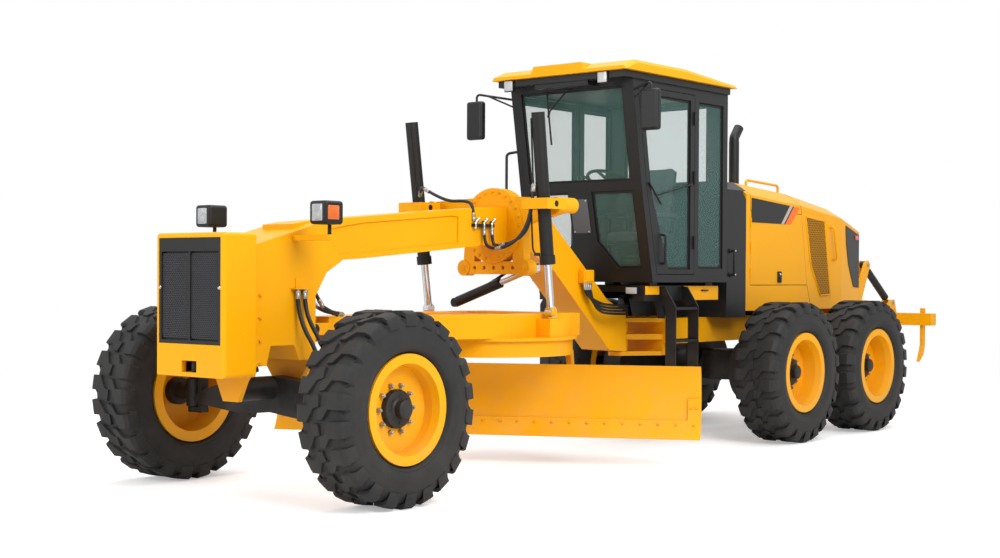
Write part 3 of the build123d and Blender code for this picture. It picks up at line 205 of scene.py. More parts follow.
def finish_material(name, colour, second_colour, roughness, metallic=0.0, coat=0.0, grain=400.0, bump=0.02,
                    dust=0.25, dust_reach=1.2, dust_colour=(0.32, 0.29, 0.24), edge=0.004, specular=0.3):
    """Surface whose colour and gloss drift a little, with grain, settled dust and softened edges."""
    cloud_scale, dust_scale, gloss_swing, dust_dulling = 1.6, 4.0, 0.08, 0.5
    material, tree, shader = new_material(name)
    sprayed = use_group(tree, surface_group, Grain=grain, Cloud=cloud_scale)
    dusty = use_group(tree, dust_group, Reach=dust_reach, Amount=dust, Scale=dust_scale)["Mask"]
    clean = blend_colours(tree, sprayed["Cloud"], colour, second_colour)
    drift = maths(tree, "MULTIPLY", sprayed["Cloud"], gloss_swing)
    clean_rough = maths(tree, "ADD", drift, roughness - gloss_swing / 2)
    rough = maths(tree, "ADD", clean_rough, maths(tree, "MULTIPLY", dusty, dust_dulling), clamp=True)
    relief = add_node(tree, "Bump", {"Strength": bump, "Distance": 0.002, "Height": sprayed["Height"]})
    if edge:
        feed(tree, relief, {"Normal": add_node(tree, "Bevel", {"Radius": edge}, samples=4).outputs[0]})
    feed(tree, shader, {"Base Color": blend_colours(tree, dusty, clean, dust_colour), "Roughness": rough,
                        "Metallic": metallic, "Specular IOR Level": specular, "Coat Weight": coat,
                        "Coat Roughness": 0.06, "Normal": relief.outputs[0]})
    return material


yellow_paint = finish_material("yellow_paint", (0.80, 0.345, 0.001), (0.86, 0.385, 0.001), 0.38, coat=0.04,
                               specular=0.15)
charcoal_paint = finish_material("charcoal_paint", (0.0075, 0.008, 0.0085), (0.012, 0.0125, 0.013), 0.42)
black_paint = finish_material("black_paint", (0.006, 0.006, 0.006), (0.010, 0.0095, 0.009), 0.5, dust=0.2)


def paint_nodes(material, *names):
    """Gives CAD nodes their finish."""
    for name in names:
        for material_slot in nodes[name].material_slots:
            material_slot.material = material


def on_both_sides(*stems):
    """Node names of a left and a right piece for each stem."""
    return [f"{stem}_{side}" for stem in stems for side in ("left", "right")]


paint_nodes(yellow_paint, "rear_frame", "gooseneck", "nose_box", "saddle", "hood_shell", "cab_roof", "drawbar",
            "circle", "moldboard", "cutting_edge", "ripper", "ripper_upper_links", "ripper_lower_links",
            "blade_bracket", *on_both_sides("service_door", "rim_front", "rim_mid", "rim_rear", "gimbal"))
paint_nodes(charcoal_paint, "cab_platform", "cab_shell", "tower", "exhaust_stack", "headlamps", "steering_console",
            *on_both_sides("cab_door"))
paint_nodes(black_paint, "drive_axle", "front_axle", "engine_block", "shift_barrel", "drawbar_ball", "ripper_barrels",
            "tie_rod", "nose_grille",
            *on_both_sides("tandem_case", "lean_yoke", "knuckle", "lift_barrel"))

# ---------------------------------------------------------------- rods, rubber and glass
# Hydraulic rods are hard chromed, tyres are black rubber and the cab has toughened glass with a
# faint green cast. The seat is covered in dark cloth.
chrome = finish_material("rod_chrome", (0.62, 0.62, 0.63), (0.72, 0.72, 0.73), 0.14, metallic=1.0, bump=0.01,
                         dust=0.1, edge=0.0)
rubber = finish_material("tyre_rubber", (0.010, 0.010, 0.0105), (0.018, 0.0175, 0.017), 0.62, grain=160.0,
                         bump=0.15, dust=0.5, dust_reach=1.6, dust_colour=(0.07, 0.065, 0.058))
paint_nodes(chrome, "shift_rod", "ripper_rods", *on_both_sides("lift_rod"))
paint_nodes(rubber, *on_both_sides("tyre_front", "tyre_mid", "tyre_rear"))

glass, glass_tree, glass_shader = new_material("window_glass")
glass_film = use_group(glass_tree, surface_group, Grain=30.0, Cloud=1.2)["Cloud"]
glass_colour = blend_colours(glass_tree, glass_film, (0.13, 0.28, 0.25), (0.16, 0.31, 0.28))
feed(glass_tree, glass_shader, {"Base Color": glass_colour, "Roughness": 0.0, "Alpha": 0.16, "IOR": 1.45})
paint_nodes(glass, "cab_glass")
seat_cloth = finish_material("seat_cloth", (0.055, 0.056, 0.058), (0.080, 0.081, 0.084), 0.75, grain=900.0,
                             bump=0.3, dust=0.0)
paint_nodes(seat_cloth, "operator_seat")


# ---------------------------------------------------------------- tyres
# Six tubeless grader tyres with a deep block tread: each lug runs from the shoulder to the middle with a
# kink, and the two sides are staggered. One is moulded and the other five are copies of it.


def new_piece(name):
    """Names the active object and its mesh, and hands it over."""
    piece = bpy.context.active_object
    piece.name = name
    piece.data.name = name
    return piece


def pick(*pieces):
    """Selects these pieces alone, with the first one active."""
    bpy.ops.object.select_all(action="DESELECT")
    for piece in pieces:
        piece.select_set(True)
    bpy.context.view_layer.objects.active = pieces[0]


def edit_all():
    """Edit mode on the active piece, with all of it selected."""
    bpy.ops.object.mode_set(mode="EDIT")
    bpy.ops.mesh.select_all(action="SELECT")


def draw_out(*step):
    """Extrudes the selected faces or edges by a step."""
    bpy.ops.mesh.extrude_region_move(TRANSFORM_OT_translate={"value": step})


def settle(piece):
    """Puts a piece's place, turn and size into its mesh."""
    bpy.ops.object.mode_set(mode="OBJECT")
    pick(piece)
    bpy.ops.object.transform_apply(location=True, rotation=True, scale=True)
    return piece


def mend_normals(piece):
    """Merges doubled points and points the faces outwards."""
    settle(piece)
    edit_all()
    bpy.ops.mesh.remove_doubles(threshold=0.00005)
    bpy.ops.mesh.normals_make_consistent(inside=False)
    bpy.ops.object.mode_set(mode="OBJECT")
    return piece


def shade(piece, angle=35.0):
    """Smooth shading that keeps edges sharper than the angle."""
    settle(piece)
    bpy.ops.object.shade_smooth_by_angle(angle=math.radians(angle))
    return piece


def join(name, pieces):
    """Joins pieces into one named mesh."""
    pick(*pieces)
    if len(pieces) > 1:
        bpy.ops.object.join()
    return new_piece(name)


axes = {"X": Vector((1, 0, 0)), "Y": Vector((0, 1, 0)), "Z": Vector((0, 0, 1))}


def turned_shell(name, rows, segments=64, axis="Y", centre=(0.0, 0.0, 0.0)):
    """Rings of (radius, station) drawn out along an axis, as on a lathe; a pinhole of 2 mm or less is closed."""
    turn = {"Y": (math.pi / 2, 0.0, 0.0), "X": (0.0, math.pi / 2, 0.0), "Z": (0.0, 0.0, 0.0)}[axis]
    along = axes[axis]
    pinhole = 0.002
    radius, station = rows[0]
    start = Vector(centre) + along * station
    bpy.ops.mesh.primitive_circle_add(vertices=segments, radius=radius, fill_type="NOTHING", location=start,
                                      rotation=turn)
    shell = settle(new_piece(name))
    edit_all()
    if radius < pinhole:
        bpy.ops.mesh.edge_face_add()
    for next_radius, next_station in rows[1:]:
        draw_out(*along * (next_station - station))
        share = next_radius / radius
        scale = [share if abs(part) < 0.5 else 1.0 for part in along]
        bpy.ops.transform.resize(value=scale, center_override=Vector(centre) + along * next_station)
        radius, station = next_radius, next_station
    if radius < pinhole:
        bpy.ops.mesh.edge_face_add()
    bpy.ops.object.mode_set(mode="OBJECT")
    return mend_normals(shell)


tyre_low, tyre_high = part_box("tyre_front_left")
tyre_radius = (tyre_high[2] - tyre_low[2]) / 2
tyre_half = (tyre_high[1] - tyre_low[1]) / 2
rim_low, rim_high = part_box("rim_front_left")
rim_radius = (rim_high[2] - rim_low[2]) / 2
lug_height = 0.027
lugs_a_side = 22
casing_radius = tyre_radius - lug_height

half_casing = [(rim_radius - 0.050, tyre_half - 0.062), (rim_radius + 0.006, tyre_half - 0.056),
               (rim_radius + 0.020, tyre_half - 0.030), (rim_radius + 0.034, tyre_half - 0.012),
               (rim_radius + 0.040, tyre_half - 0.014), (rim_radius + 0.052, tyre_half - 0.006),
               (tyre_radius - 0.185, tyre_half - 0.001), (tyre_radius - 0.178, tyre_half - 0.004),
               (tyre_radius - 0.130, tyre_half - 0.004), (tyre_radius - 0.085, tyre_half - 0.018),
               (casing_radius - 0.025, tyre_half - 0.036), (casing_radius - 0.008, tyre_half - 0.060),
               (casing_radius, tyre_half - 0.110)]
casing_rows = half_casing + [(radius, -station) for radius, station in reversed(half_casing)]
casing_rows.append(half_casing[0])
tyre_casing = turned_shell("tyre_casing", casing_rows, segments=96)

# one lug over the top of the tyre: shoulder foot, outer run, kink and inner run
lug_pitch = 2 * math.pi * tyre_radius / lugs_a_side
bpy.ops.mesh.primitive_cube_add(size=1.0, location=(0.0, tyre_half - 0.085, casing_radius + lug_height / 2 - 0.006),
                                scale=(0.58 * lug_pitch, 0.075, lug_height + 0.006))
tyre_lug = settle(new_piece("tyre_lug"))


def face_towards(piece, direction, limit=0.9):
    """Selects the faces of a piece that look in a direction."""
    bpy.ops.object.mode_set(mode="EDIT")
    bpy.ops.mesh.select_all(action="DESELECT")
    bpy.ops.object.mode_set(mode="OBJECT")
    wanted = Vector(direction).normalized()
    for polygon in piece.data.polygons:
        polygon.select = polygon.normal.dot(wanted) > limit
    bpy.ops.object.mode_set(mode="EDIT")
    bpy.context.tool_settings.mesh_select_mode = (False, False, True)


def soften(piece, width, segments, sharper_than=30.0):
    """Bevels the edges of a piece that are sharper than an angle."""
    bevel = piece.modifiers.new("soft_edge", "BEVEL")
    bevel.width = width
    bevel.segments = segments
    bevel.limit_method = "ANGLE"
    bevel.angle_limit = math.radians(sharper_than)
    bpy.ops.object.modifier_apply(modifier=bevel.name)


def spin_round(count):
    """Repeats the whole active mesh evenly round the wheel's axis."""
    edit_all()
    bpy.ops.mesh.spin(steps=count - 1, dupli=True, angle=2 * math.pi * (count - 1) / count, center=(0.0, 0.0, 0.0),
                      axis=(0.0, 1.0, 0.0))
    bpy.ops.object.mode_set(mode="OBJECT")


face_towards(tyre_lug, (0, 1, 0))
draw_out(0.0, 0.034, -0.019)
bpy.ops.transform.resize(value=(0.96, 1.0, 0.9))
draw_out(0.0, 0.012, -0.060)
bpy.ops.transform.resize(value=(0.86, 1.0, 0.55))
face_towards(tyre_lug, (0, -1, 0))
draw_out(0.42 * lug_pitch, -0.052, -0.010)
bpy.ops.transform.resize(value=(0.78, 1.0, 1.0))
draw_out(0.05 * lug_pitch, -0.050, -0.002)
bpy.ops.transform.resize(value=(0.9, 1.0, 1.0))
bpy.ops.object.mode_set(mode="OBJECT")
soften(tyre_lug, 0.004, 1, 40.0)
spin_round(lugs_a_side)


def copy_of(piece, name):
    """Copy with its own mesh, left selected and active."""
    pick(piece)
    bpy.ops.object.duplicate(linked=False)
    return new_piece(name)


far_lugs = copy_of(tyre_lug, "far_lugs")
far_lugs.matrix_world = Matrix.Rotation(math.pi / lugs_a_side, 4, "Y") @ Matrix.Diagonal((-1.0, -1.0, 1.0, 1.0))
settle(far_lugs)
tyre_model = shade(join("tyre_model", [tyre_casing, tyre_lug, far_lugs]), 30.0)


def give(piece, material, body):
    """Material and body of a finished piece."""
    piece.data.materials.clear()
    piece.data.materials.append(material)
    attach(piece, body)
    return piece


def place_copy(model, name, centre, side):
    """Copy of a left-hand model at a centre, mirrored for the right side."""
    piece = copy_of(model, name)
    piece.matrix_world = Matrix.Translation(centre) @ Matrix.Diagonal((1.0, side, 1.0, 1.0))
    settle(piece)
    if side < 0:
        edit_all()
        bpy.ops.mesh.flip_normals()
        bpy.ops.object.mode_set(mode="OBJECT")
    return piece


def remove(*pieces):
    """Deletes models that were only copied from."""
    bpy.ops.object.select_all(action="DESELECT")
    for piece in pieces:
        piece.select_set(True)
    bpy.ops.object.delete()


def node_middle(node_name):
    """Middle of a CAD node's box."""
    low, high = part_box(node_name)
    return (Vector(low) + Vector(high)) / 2


hands = (("left", 1.0), ("right", -1.0))
wheels = [(f"{axle}_{hand}", side) for axle in ("front", "mid", "rear") for hand, side in hands]
for wheel, side in wheels:
    tyre_piece = place_copy(tyre_model, f"tyre_rubber_{wheel}", node_middle(f"tyre_{wheel}"), side)
    give(tyre_piece, rubber, f"wheel_{wheel}")
    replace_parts(tyre_piece, f"tyre_{wheel}")
remove(tyre_model)

# ---------------------------------------------------------------- hubs
# A black planetary hub with eight cap bolts sits in each yellow wheel disc, which ten nuts on a ring
# clamp. The front discs stand further out than the others.
hub_radius, cap_bolt_ring = 0.134, 0.094
nut_ring_radius, nut_across, nut_count = 0.165, 0.017, 10
front_disc_offset = 0.060
hub_rows = [(0.0005, 0.116), (0.052, 0.116), (0.064, 0.108), (0.066, 0.062), (0.078, 0.052), (0.112, 0.050),
            (0.128, 0.043), (hub_radius, 0.030), (hub_radius, -0.002)]
hub_model = shade(turned_shell("hub_model", hub_rows, segments=48))
bpy.ops.mesh.primitive_cylinder_add(vertices=6, radius=nut_across, depth=0.024, location=(nut_ring_radius, 0.012, 0.0),
                                    rotation=(math.pi / 2, 0.0, 0.0))
nut_model = settle(new_piece("nut_model"))
face_towards(nut_model, (0, 1, 0))
bpy.ops.mesh.inset(thickness=0.005, depth=0.0)
draw_out(0.0, 0.012, 0.0)
bpy.ops.mesh.inset(thickness=0.002, depth=0.002)
spin_round(nut_count)
cap_bolt_rows = [(0.0005, 0.056), (0.007, 0.056), (0.009, 0.053), (0.009, 0.045)]
cap_bolts = turned_shell("cap_bolts", cap_bolt_rows, segments=12, centre=(cap_bolt_ring, 0.0, 0.0))
spin_round(8)
hub_model = join("hub_model", [hub_model, cap_bolts])
zinc = finish_material("zinc_bolts", (0.42, 0.40, 0.36), (0.30, 0.29, 0.27), 0.35, metallic=0.9, grain=600.0,
                       bump=0.05, dust=0.15, edge=0.0)
for wheel, side in wheels:
    disc_centre = node_middle(f"rim_{wheel}")
    disc_centre.y = node_middle(f"tyre_{wheel}").y + side * (front_disc_offset if "front" in wheel else 0.0)
    give(place_copy(hub_model, f"hub_{wheel}", disc_centre, side), black_paint, f"wheel_{wheel}")
    give(place_copy(nut_model, f"wheel_nuts_{wheel}", disc_centre, side), zinc, f"wheel_{wheel}")
remove(hub_model, nut_model)

# ---------------------------------------------------------------- cab doors and glazing
# Each door is a charcoal steel frame with a bonded pane. Every pane of the cab sits in a black
# rubber seal that laps over its edge.
tandem_x = (node_middle("tyre_mid_left").x + node_middle("tyre_rear_left").x) / 2


def at(station, y, z):
    """Place whose station is counted forward from the tandem pivot."""
    return Vector((station + tandem_x, y, z))


def merged_copy(node_name, name):
    """Copy of a CAD node with its doubled points merged."""
    whole = copy_of(nodes[node_name], name)
    edit_all()
    bpy.ops.mesh.remove_doubles(threshold=0.00002)
    bpy.ops.object.mode_set(mode="OBJECT")
    return whole


def loose_pieces(node_name):
    """Copy of a CAD node split into its separate solids, the largest first."""
    merged_copy(node_name, f"{node_name}_copy")
    edit_all()
    bpy.ops.mesh.separate(type="LOOSE")
    bpy.ops.object.mode_set(mode="OBJECT")
    return sorted(bpy.context.selected_objects, key=lambda piece: -max(piece.dimensions))


rubber_trim = finish_material("seal_rubber", (0.006, 0.006, 0.006), (0.009, 0.009, 0.009), 0.55,
                              grain=250.0, bump=0.05, dust=0.05, edge=0.0)


def seal_round(pane, name, body, lap=0.020, proud=0.007):
    """Rubber seal round a flat pane, on the side away from the cab's middle."""
    flat = copy_of(pane, name)
    away = sum((Vector(corner) for corner in flat.bound_box), Vector()) / 8 - cab_middle
    areas = {}
    for polygon in flat.data.polygons:
        key = tuple(round(part, 2) for part in polygon.normal)
        areas[key] = areas.get(key, 0.0) + polygon.area
    facing = max(areas, key=lambda key: areas[key] * (2.0 if Vector(key).dot(away) > 0 else 1.0))
    face_towards(flat, facing, 0.98)
    bpy.ops.mesh.select_all(action="INVERT")
    bpy.ops.mesh.delete(type="FACE")
    bpy.ops.mesh.select_all(action="SELECT")
    bpy.ops.mesh.dissolve_limited(angle_limit=0.02)
    bpy.ops.mesh.select_all(action="SELECT")
    bpy.ops.mesh.inset(thickness=lap, depth=0.0)
    bpy.ops.mesh.delete(type="FACE")
    bpy.ops.mesh.select_all(action="SELECT")
    draw_out(*Vector(facing) * proud)
    mend_normals(flat)
    soften(flat, 0.002, 2)
    return give(shade(flat), rubber_trim, body)


cab_middle = node_middle("cab_glass")
for hand in ("left", "right"):
    body = f"cab_door_{hand}"
    frame_piece, pane = loose_pieces(body)[:2]
    frame_piece.name = frame_piece.data.name = f"door_frame_{hand}"
    pane.name = pane.data.name = f"door_pane_{hand}"
    give(frame_piece, charcoal_paint, body)
    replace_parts(frame_piece, body)
    give(pane, glass, body)
    seal_round(pane, f"door_seal_{hand}", body)
for index, pane in enumerate(loose_pieces("cab_glass")):
    seal_round(pane, f"window_seal_{index}", "rear_frame")
    remove(pane)

# ---------------------------------------------------------------- nose grille
# Two panels of black expanded mesh stand in the grille frame with a strip between them. Two bright
# knobs hold the frame in the nose box.


def slab(name, low, high, edge=0.004):
    """Block between two corners with softened edges."""
    low, high = Vector(low), Vector(high)
    bpy.ops.object.select_all(action="DESELECT")
    bpy.ops.mesh.primitive_cube_add(size=1.0, location=(low + high) / 2, scale=high - low)
    piece = settle(new_piece(name))
    if edge:
        soften(piece, edge, 3)
        shade(piece)
    return piece


def bar(name, start, end, radius, sides=20):
    """Round bar between two points with softened ends."""
    start, end = Vector(start), Vector(end)
    turn = (end - start).to_track_quat("Z", "Y").to_euler()
    bpy.ops.object.select_all(action="DESELECT")
    bpy.ops.mesh.primitive_cylinder_add(vertices=sides, radius=radius, depth=(end - start).length,
                                        location=(start + end) / 2, rotation=turn)
    piece = settle(new_piece(name))
    soften(piece, radius * 0.16, 2, 50.0)
    return shade(piece)


def fit(name, pieces, material, body):
    """Joins pieces into one smooth-shaded piece, and gives it its material and body."""
    return give(shade(join(name, pieces)), material, body)


def span(corners):
    """Lowest and highest corner round a list of places."""
    return [Vector([end(corner[k] for corner in corners) for k in range(3)]) for end in (min, max)]


def clip_to(piece, corners, axis):
    """Cuts a piece off outside a convex outline of corners seen along an axis."""
    middle = sum((Vector(corner) for corner in corners), Vector()) / len(corners)
    settle(piece)
    bpy.ops.object.mode_set(mode="EDIT")
    for corner, following in zip(corners, corners[1:] + corners[:1]):
        outward = (Vector(following) - Vector(corner)).cross(axes[axis]).normalized()
        if outward.dot(Vector(corner) - middle) < 0:
            outward = -outward
        bpy.ops.mesh.select_all(action="SELECT")
        bpy.ops.mesh.bisect(plane_co=corner, plane_no=outward, use_fill=True, clear_outer=True)
    bpy.ops.object.mode_set(mode="OBJECT")
    return mend_normals(piece)


def cut_plate(name, corners, axis, back, front):
    """Flat plate of a convex outline, from back to front along an axis."""
    low, high = span(corners)
    across = "XYZ".index(axis)
    low[across], high[across] = back, front
    return clip_to(slab(name, low, high, 0.0), corners, axis)


def mesh_panel(name, corners, axis, depth, pitch, strand):
    """Diamond mesh of crossed strands cut to an outline."""
    low, high = span(corners)
    reach = (high - low).length
    count = int(reach / pitch) + 2
    across = "XYZ".index(axis)
    run = (1, 0, 0)[across]
    strand_slope, strand_thickness = math.radians(52.0), 0.003
    pieces = []
    for slope in (strand_slope, -strand_slope):
        strand_size = [reach, reach, strand]
        strand_size[across], strand_size[run] = strand_thickness, reach * 1.1
        bpy.ops.object.select_all(action="DESELECT")
        bpy.ops.mesh.primitive_cube_add(size=1.0, location=(0.0, 0.0, 0.0), scale=strand_size)
        piece = settle(new_piece(f"{name}_strand"))
        piece.matrix_world = Matrix.Rotation(slope, 4, axis)
        settle(piece)
        rows = piece.modifiers.new("rows", "ARRAY")
        rows.count = count
        rows.use_relative_offset = False
        rows.use_constant_offset = True
        rows.constant_offset_displace = (0.0, 0.0, 0.0)
        rows.constant_offset_displace[run] = pitch
        bpy.ops.object.modifier_apply(modifier=rows.name)
        start = (low + high) / 2
        start[run] -= pitch * (count - 1) / 2
        start[across] = depth
        piece.matrix_world = Matrix.Translation(start)
        pieces.append(settle(piece))
    return clip_to(join(name, pieces), corners, axis)


grille_low, grille_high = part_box("nose_grille")
grille_front = grille_high[0]
grille_border, grille_strip = 0.026, 0.095
mesh_black = finish_material("grille_mesh", (0.045, 0.046, 0.05), (0.06, 0.061, 0.065), 0.42, grain=200.0,
                             dust=0.05, edge=0.0)
mesh_top, mesh_bottom = grille_high[2] - grille_strip, grille_low[2] + grille_border
panels = []
for y0, y1 in ((grille_low[1] + grille_border, -0.009), (0.009, grille_high[1] - grille_border)):
    corners = [(grille_front, y0, mesh_bottom), (grille_front, y1, mesh_bottom), (grille_front, y1, mesh_top),
               (grille_front, y0, mesh_top)]
    panels.append(mesh_panel(f"grille_panel_{len(panels)}", corners, "X", grille_front - 0.010, 0.020, 0.0052))
give(join("grille_mesh", panels), mesh_black, "front_frame")
knob_rows = [(0.0005, 0.012), (0.006, 0.012), (0.008, 0.010), (0.0085, 0.003), (0.011, 0.002), (0.011, -0.001),
             (0.0005, -0.001)]
knobs = [turned_shell(f"knob_{index}", knob_rows, 20, axis="X", centre=(grille_front, y, 1.49))
         for index, y in enumerate((grille_low[1] + 0.012, grille_high[1] - 0.012))]
fit("grille_knobs", knobs, chrome, "front_frame")
nose_low, nose_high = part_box("nose_box")
tow_pin_x = nose_high[0] - 0.052
tow_pin = bar("tow_pin", (tow_pin_x, 0.0, nose_low[2] + 0.002), (tow_pin_x, 0.0, nose_low[2] + 0.128), 0.0215)
give(tow_pin, black_paint, "front_frame")

# ---------------------------------------------------------------- headlamps
# Each lamp is a black moulded housing on a yellow bracket, with a clear lens over two bulbs in front
# and an amber turn lens round the outer corner.
lamp_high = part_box("headlamps")[1]
housing_bottom = lamp_high[2] - 0.165
bracket_top = housing_bottom - 0.050
lamp_shells = give(merged_copy("headlamps", "headlamp_housings"), black_paint, "front_frame")
lamp_shells.data.materials.append(yellow_paint)
for polygon in lamp_shells.data.polygons:
    polygon.material_index = 1 if polygon.center.z < bracket_top else 0
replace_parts(lamp_shells, "headlamps")


def lens_material(name, colour, second_colour):
    """Clear or coloured moulded plastic with a fluted inner face."""
    material, tree, shader = new_material(name)
    film = use_group(tree, surface_group, Grain=60.0, Cloud=14.0)["Cloud"]
    flutes = add_node(tree, "TexWave", {"Vector": add_node(tree, "TexCoord").outputs["Object"], "Scale": 45.0})
    relief = add_node(tree, "Bump", {"Strength": 0.35, "Distance": 0.002, "Height": flutes.outputs["Fac"]})
    feed(tree, shader, {"Base Color": blend_colours(tree, film, colour, second_colour), "Roughness": 0.08,
                        "Coat Weight": 0.2, "Normal": relief.outputs[0]})
    return material


lamp_glass = lens_material("lamp_lens", (0.22, 0.24, 0.26), (0.50, 0.52, 0.54))
amber_lens = lens_material("amber_lens", (0.55, 0.085, 0.001), (0.70, 0.14, 0.002))
red_lens = lens_material("red_lens", (0.55, 0.015, 0.010), (0.68, 0.025, 0.015))
clear_lenses, amber_lenses = [], []
bulb_rows = [(0.0005, 0.009), (0.018, 0.008), (0.024, 0.004), (0.026, 0.0)]
front_x, height = lamp_high[0], housing_bottom + 0.0825
for side in (-1, 1):
    outer_y = side * lamp_high[1]
    lamp_y = outer_y - side * 0.085
    clear_lenses.append(slab("clear_lens", (front_x - 0.020, lamp_y - 0.055, height - 0.062),
                             (front_x + 0.004, lamp_y + 0.055, height + 0.062), 0.011))
    for bulb in (-0.030, 0.030):
        bulb_place = (front_x, lamp_y, height + bulb)
        clear_lenses.append(turned_shell("bulb_ring", bulb_rows, 24, axis="X", centre=bulb_place))
    amber_y = sorted((outer_y - side * 0.020, outer_y + side * 0.0035))
    amber_lenses.append(slab("amber_lens", (front_x - 0.135, amber_y[0], height - 0.052),
                             (front_x - 0.020, amber_y[1], height + 0.052), 0.010))
give(join("headlamp_lenses", clear_lenses), lamp_glass, "front_frame")
give(join("turn_lenses", amber_lenses), amber_lens, "front_frame")

# ---------------------------------------------------------------- saddle bolts and pins
# The saddle clamps round the beam's ring with hex bolts, and steel pins with washers close the lock
# bar's two bosses.


def bolt_set(name, places, axis, radius, material, body):
    """Hex bolts with washers at a list of places, modelled once and copied."""
    washer_rows = [(0.0005, 0.003), (radius * 1.35, 0.003), (radius * 1.45, 0.0), (radius * 1.45, -0.002)]
    washer = turned_shell(f"{name}_washer", washer_rows, 16, axis="Z")
    bpy.ops.object.select_all(action="DESELECT")
    bpy.ops.mesh.primitive_cylinder_add(vertices=6, radius=radius, depth=radius,
                                        location=(0.0, 0.0, radius / 2 + 0.002))
    head = settle(new_piece(f"{name}_head"))
    face_towards(head, (0, 0, 1))
    bpy.ops.mesh.inset(thickness=radius * 0.12, depth=radius * 0.12)
    bpy.ops.mesh.inset(thickness=radius * 0.35, depth=0.0)
    draw_out(0.0, 0.0, -radius * 0.1)
    bpy.ops.object.mode_set(mode="OBJECT")
    model = join(f"{name}_model", [washer, head])
    turn = Vector(axis).to_track_quat("Z", "Y").to_matrix().to_4x4()
    copies = []
    for index, place in enumerate(places):
        one = copy_of(model, f"{name}_{index}")
        one.matrix_world = Matrix.Translation(place) @ turn @ Matrix.Rotation(0.7 * index, 4, "Z")
        copies.append(settle(one))
    remove(model)
    fit(name, copies, material, body)


bolt_radius = 0.0125
for hand, side in reversed(hands):
    nose_row = [at(6.702, side * 0.2702, z) for z in (0.960, 1.120, 1.280, 1.440)]
    bolt_set(f"nose_bolts_{hand}", nose_row, (0, side, 0), bolt_radius, yellow_paint, "front_frame")
ring_x, ring_z, ring_face = 3.800, 2.010, 0.0605
bolt_circle, ring_count = 0.291, 24
ring_turns = [2 * math.pi * index / ring_count for index in range(ring_count)]
ring_bolts = [at(ring_x + ring_face, bolt_circle * math.cos(turn), ring_z + bolt_circle * math.sin(turn))
              for turn in ring_turns]
bolt_set("ring_bolts", ring_bolts, (1, 0, 0), bolt_radius, yellow_paint, "front_frame")
lock_bar_y, lock_bar_z, boss_face = 0.330, 1.650, 0.0555
pin_rows = [(0.0005, 0.012), (0.020, 0.012), (0.024, 0.008), (0.024, 0.004), (0.040, 0.004), (0.044, 0.001),
            (0.044, -0.002)]
pin_ends = []
for side in (-1, 1):
    centre = at(ring_x + boss_face, side * lock_bar_y, lock_bar_z)
    pin_ends.append(turned_shell("pin_end", pin_rows, 32, axis="X", centre=centre))
    pin_ends.append(slab("pin_slot", centre + Vector((0.011, -0.017, -0.004)), centre + Vector((0.0145, 0.017, 0.004)),
                         0.001))
fit("lock_bar_pins", pin_ends, yellow_paint, "front_frame")
rod_pin_rows = [(0.0005, 0.010), (0.030, 0.010), (0.036, 0.004), (0.036, 0.0)]
rod_pins = [turned_shell("rod_pin", rod_pin_rows, 32, centre=at(3.915, y, 1.290)) for y in (-0.7195, 0.7095)]
fit("lift_rod_pin_ends", rod_pins, yellow_paint, "drawbar")

# ---------------------------------------------------------------- hydraulic hoses and pipes
# Pressure hoses run from a valve block on the beam to the lift cylinders, and from the nose and the
# neck to the axle, drawbar and cab. They are black rubber, with zinc-plated crimped ends.
hose_rubber = finish_material("hose_rubber", (0.006, 0.006, 0.006), (0.012, 0.012, 0.012), 0.45, grain=500.0,
                              bump=0.06, dust=0.2, dust_colour=(0.06, 0.055, 0.05), edge=0.0)


def hose(name, points, radius):
    """Round tube through a few chosen points, as one smooth line."""
    line = bpy.data.curves.new(name, "CURVE")
    line.dimensions = "3D"
    line.bevel_depth = radius
    line.bevel_resolution = 4
    line.resolution_u = 10
    line.use_fill_caps = True
    spline = line.splines.new("NURBS")
    spline.points.add(len(points) - 1)
    for point, place in zip(spline.points, points):
        point.co = (*place, 1.0)
    spline.order_u = 3
    spline.use_endpoint_u = True
    tube = bpy.data.objects.new(name, line)
    bpy.context.scene.collection.objects.link(tube)
    pick(tube)
    bpy.ops.object.convert(target="MESH")
    return shade(mend_normals(new_piece(name)), 60.0)


def crimp(start, towards, radius):
    """Swaged hose end: a hex nut and a sleeve from a start point towards another."""
    step = (towards - start).normalized()
    return [bar("crimp_nut", start, start + step * 0.022, radius * 1.45, 6),
            bar("crimp_sleeve", start + step * 0.020, start + step * 0.062, radius * 1.25, 16),
            bar("crimp_neck", start - step * 0.012, start + step * 0.004, radius * 0.9, 12)]


hose_radius, nose_hose_radius, neck_hose_radius, pipe_radius = 0.0135, 0.0155, 0.0115, 0.0075
front_hoses, front_ends = [], []


def hose_run(store, ends, name, points, radius, unions=(0, -1)):
    """Hose through points given from the tandem pivot, with crimped unions at the ends asked for."""
    places = [at(*point) for point in points]
    store.append(hose(name, places, radius))
    for end in unions:
        ends.extend(crimp(places[end], places[1 if end == 0 else -2], radius))


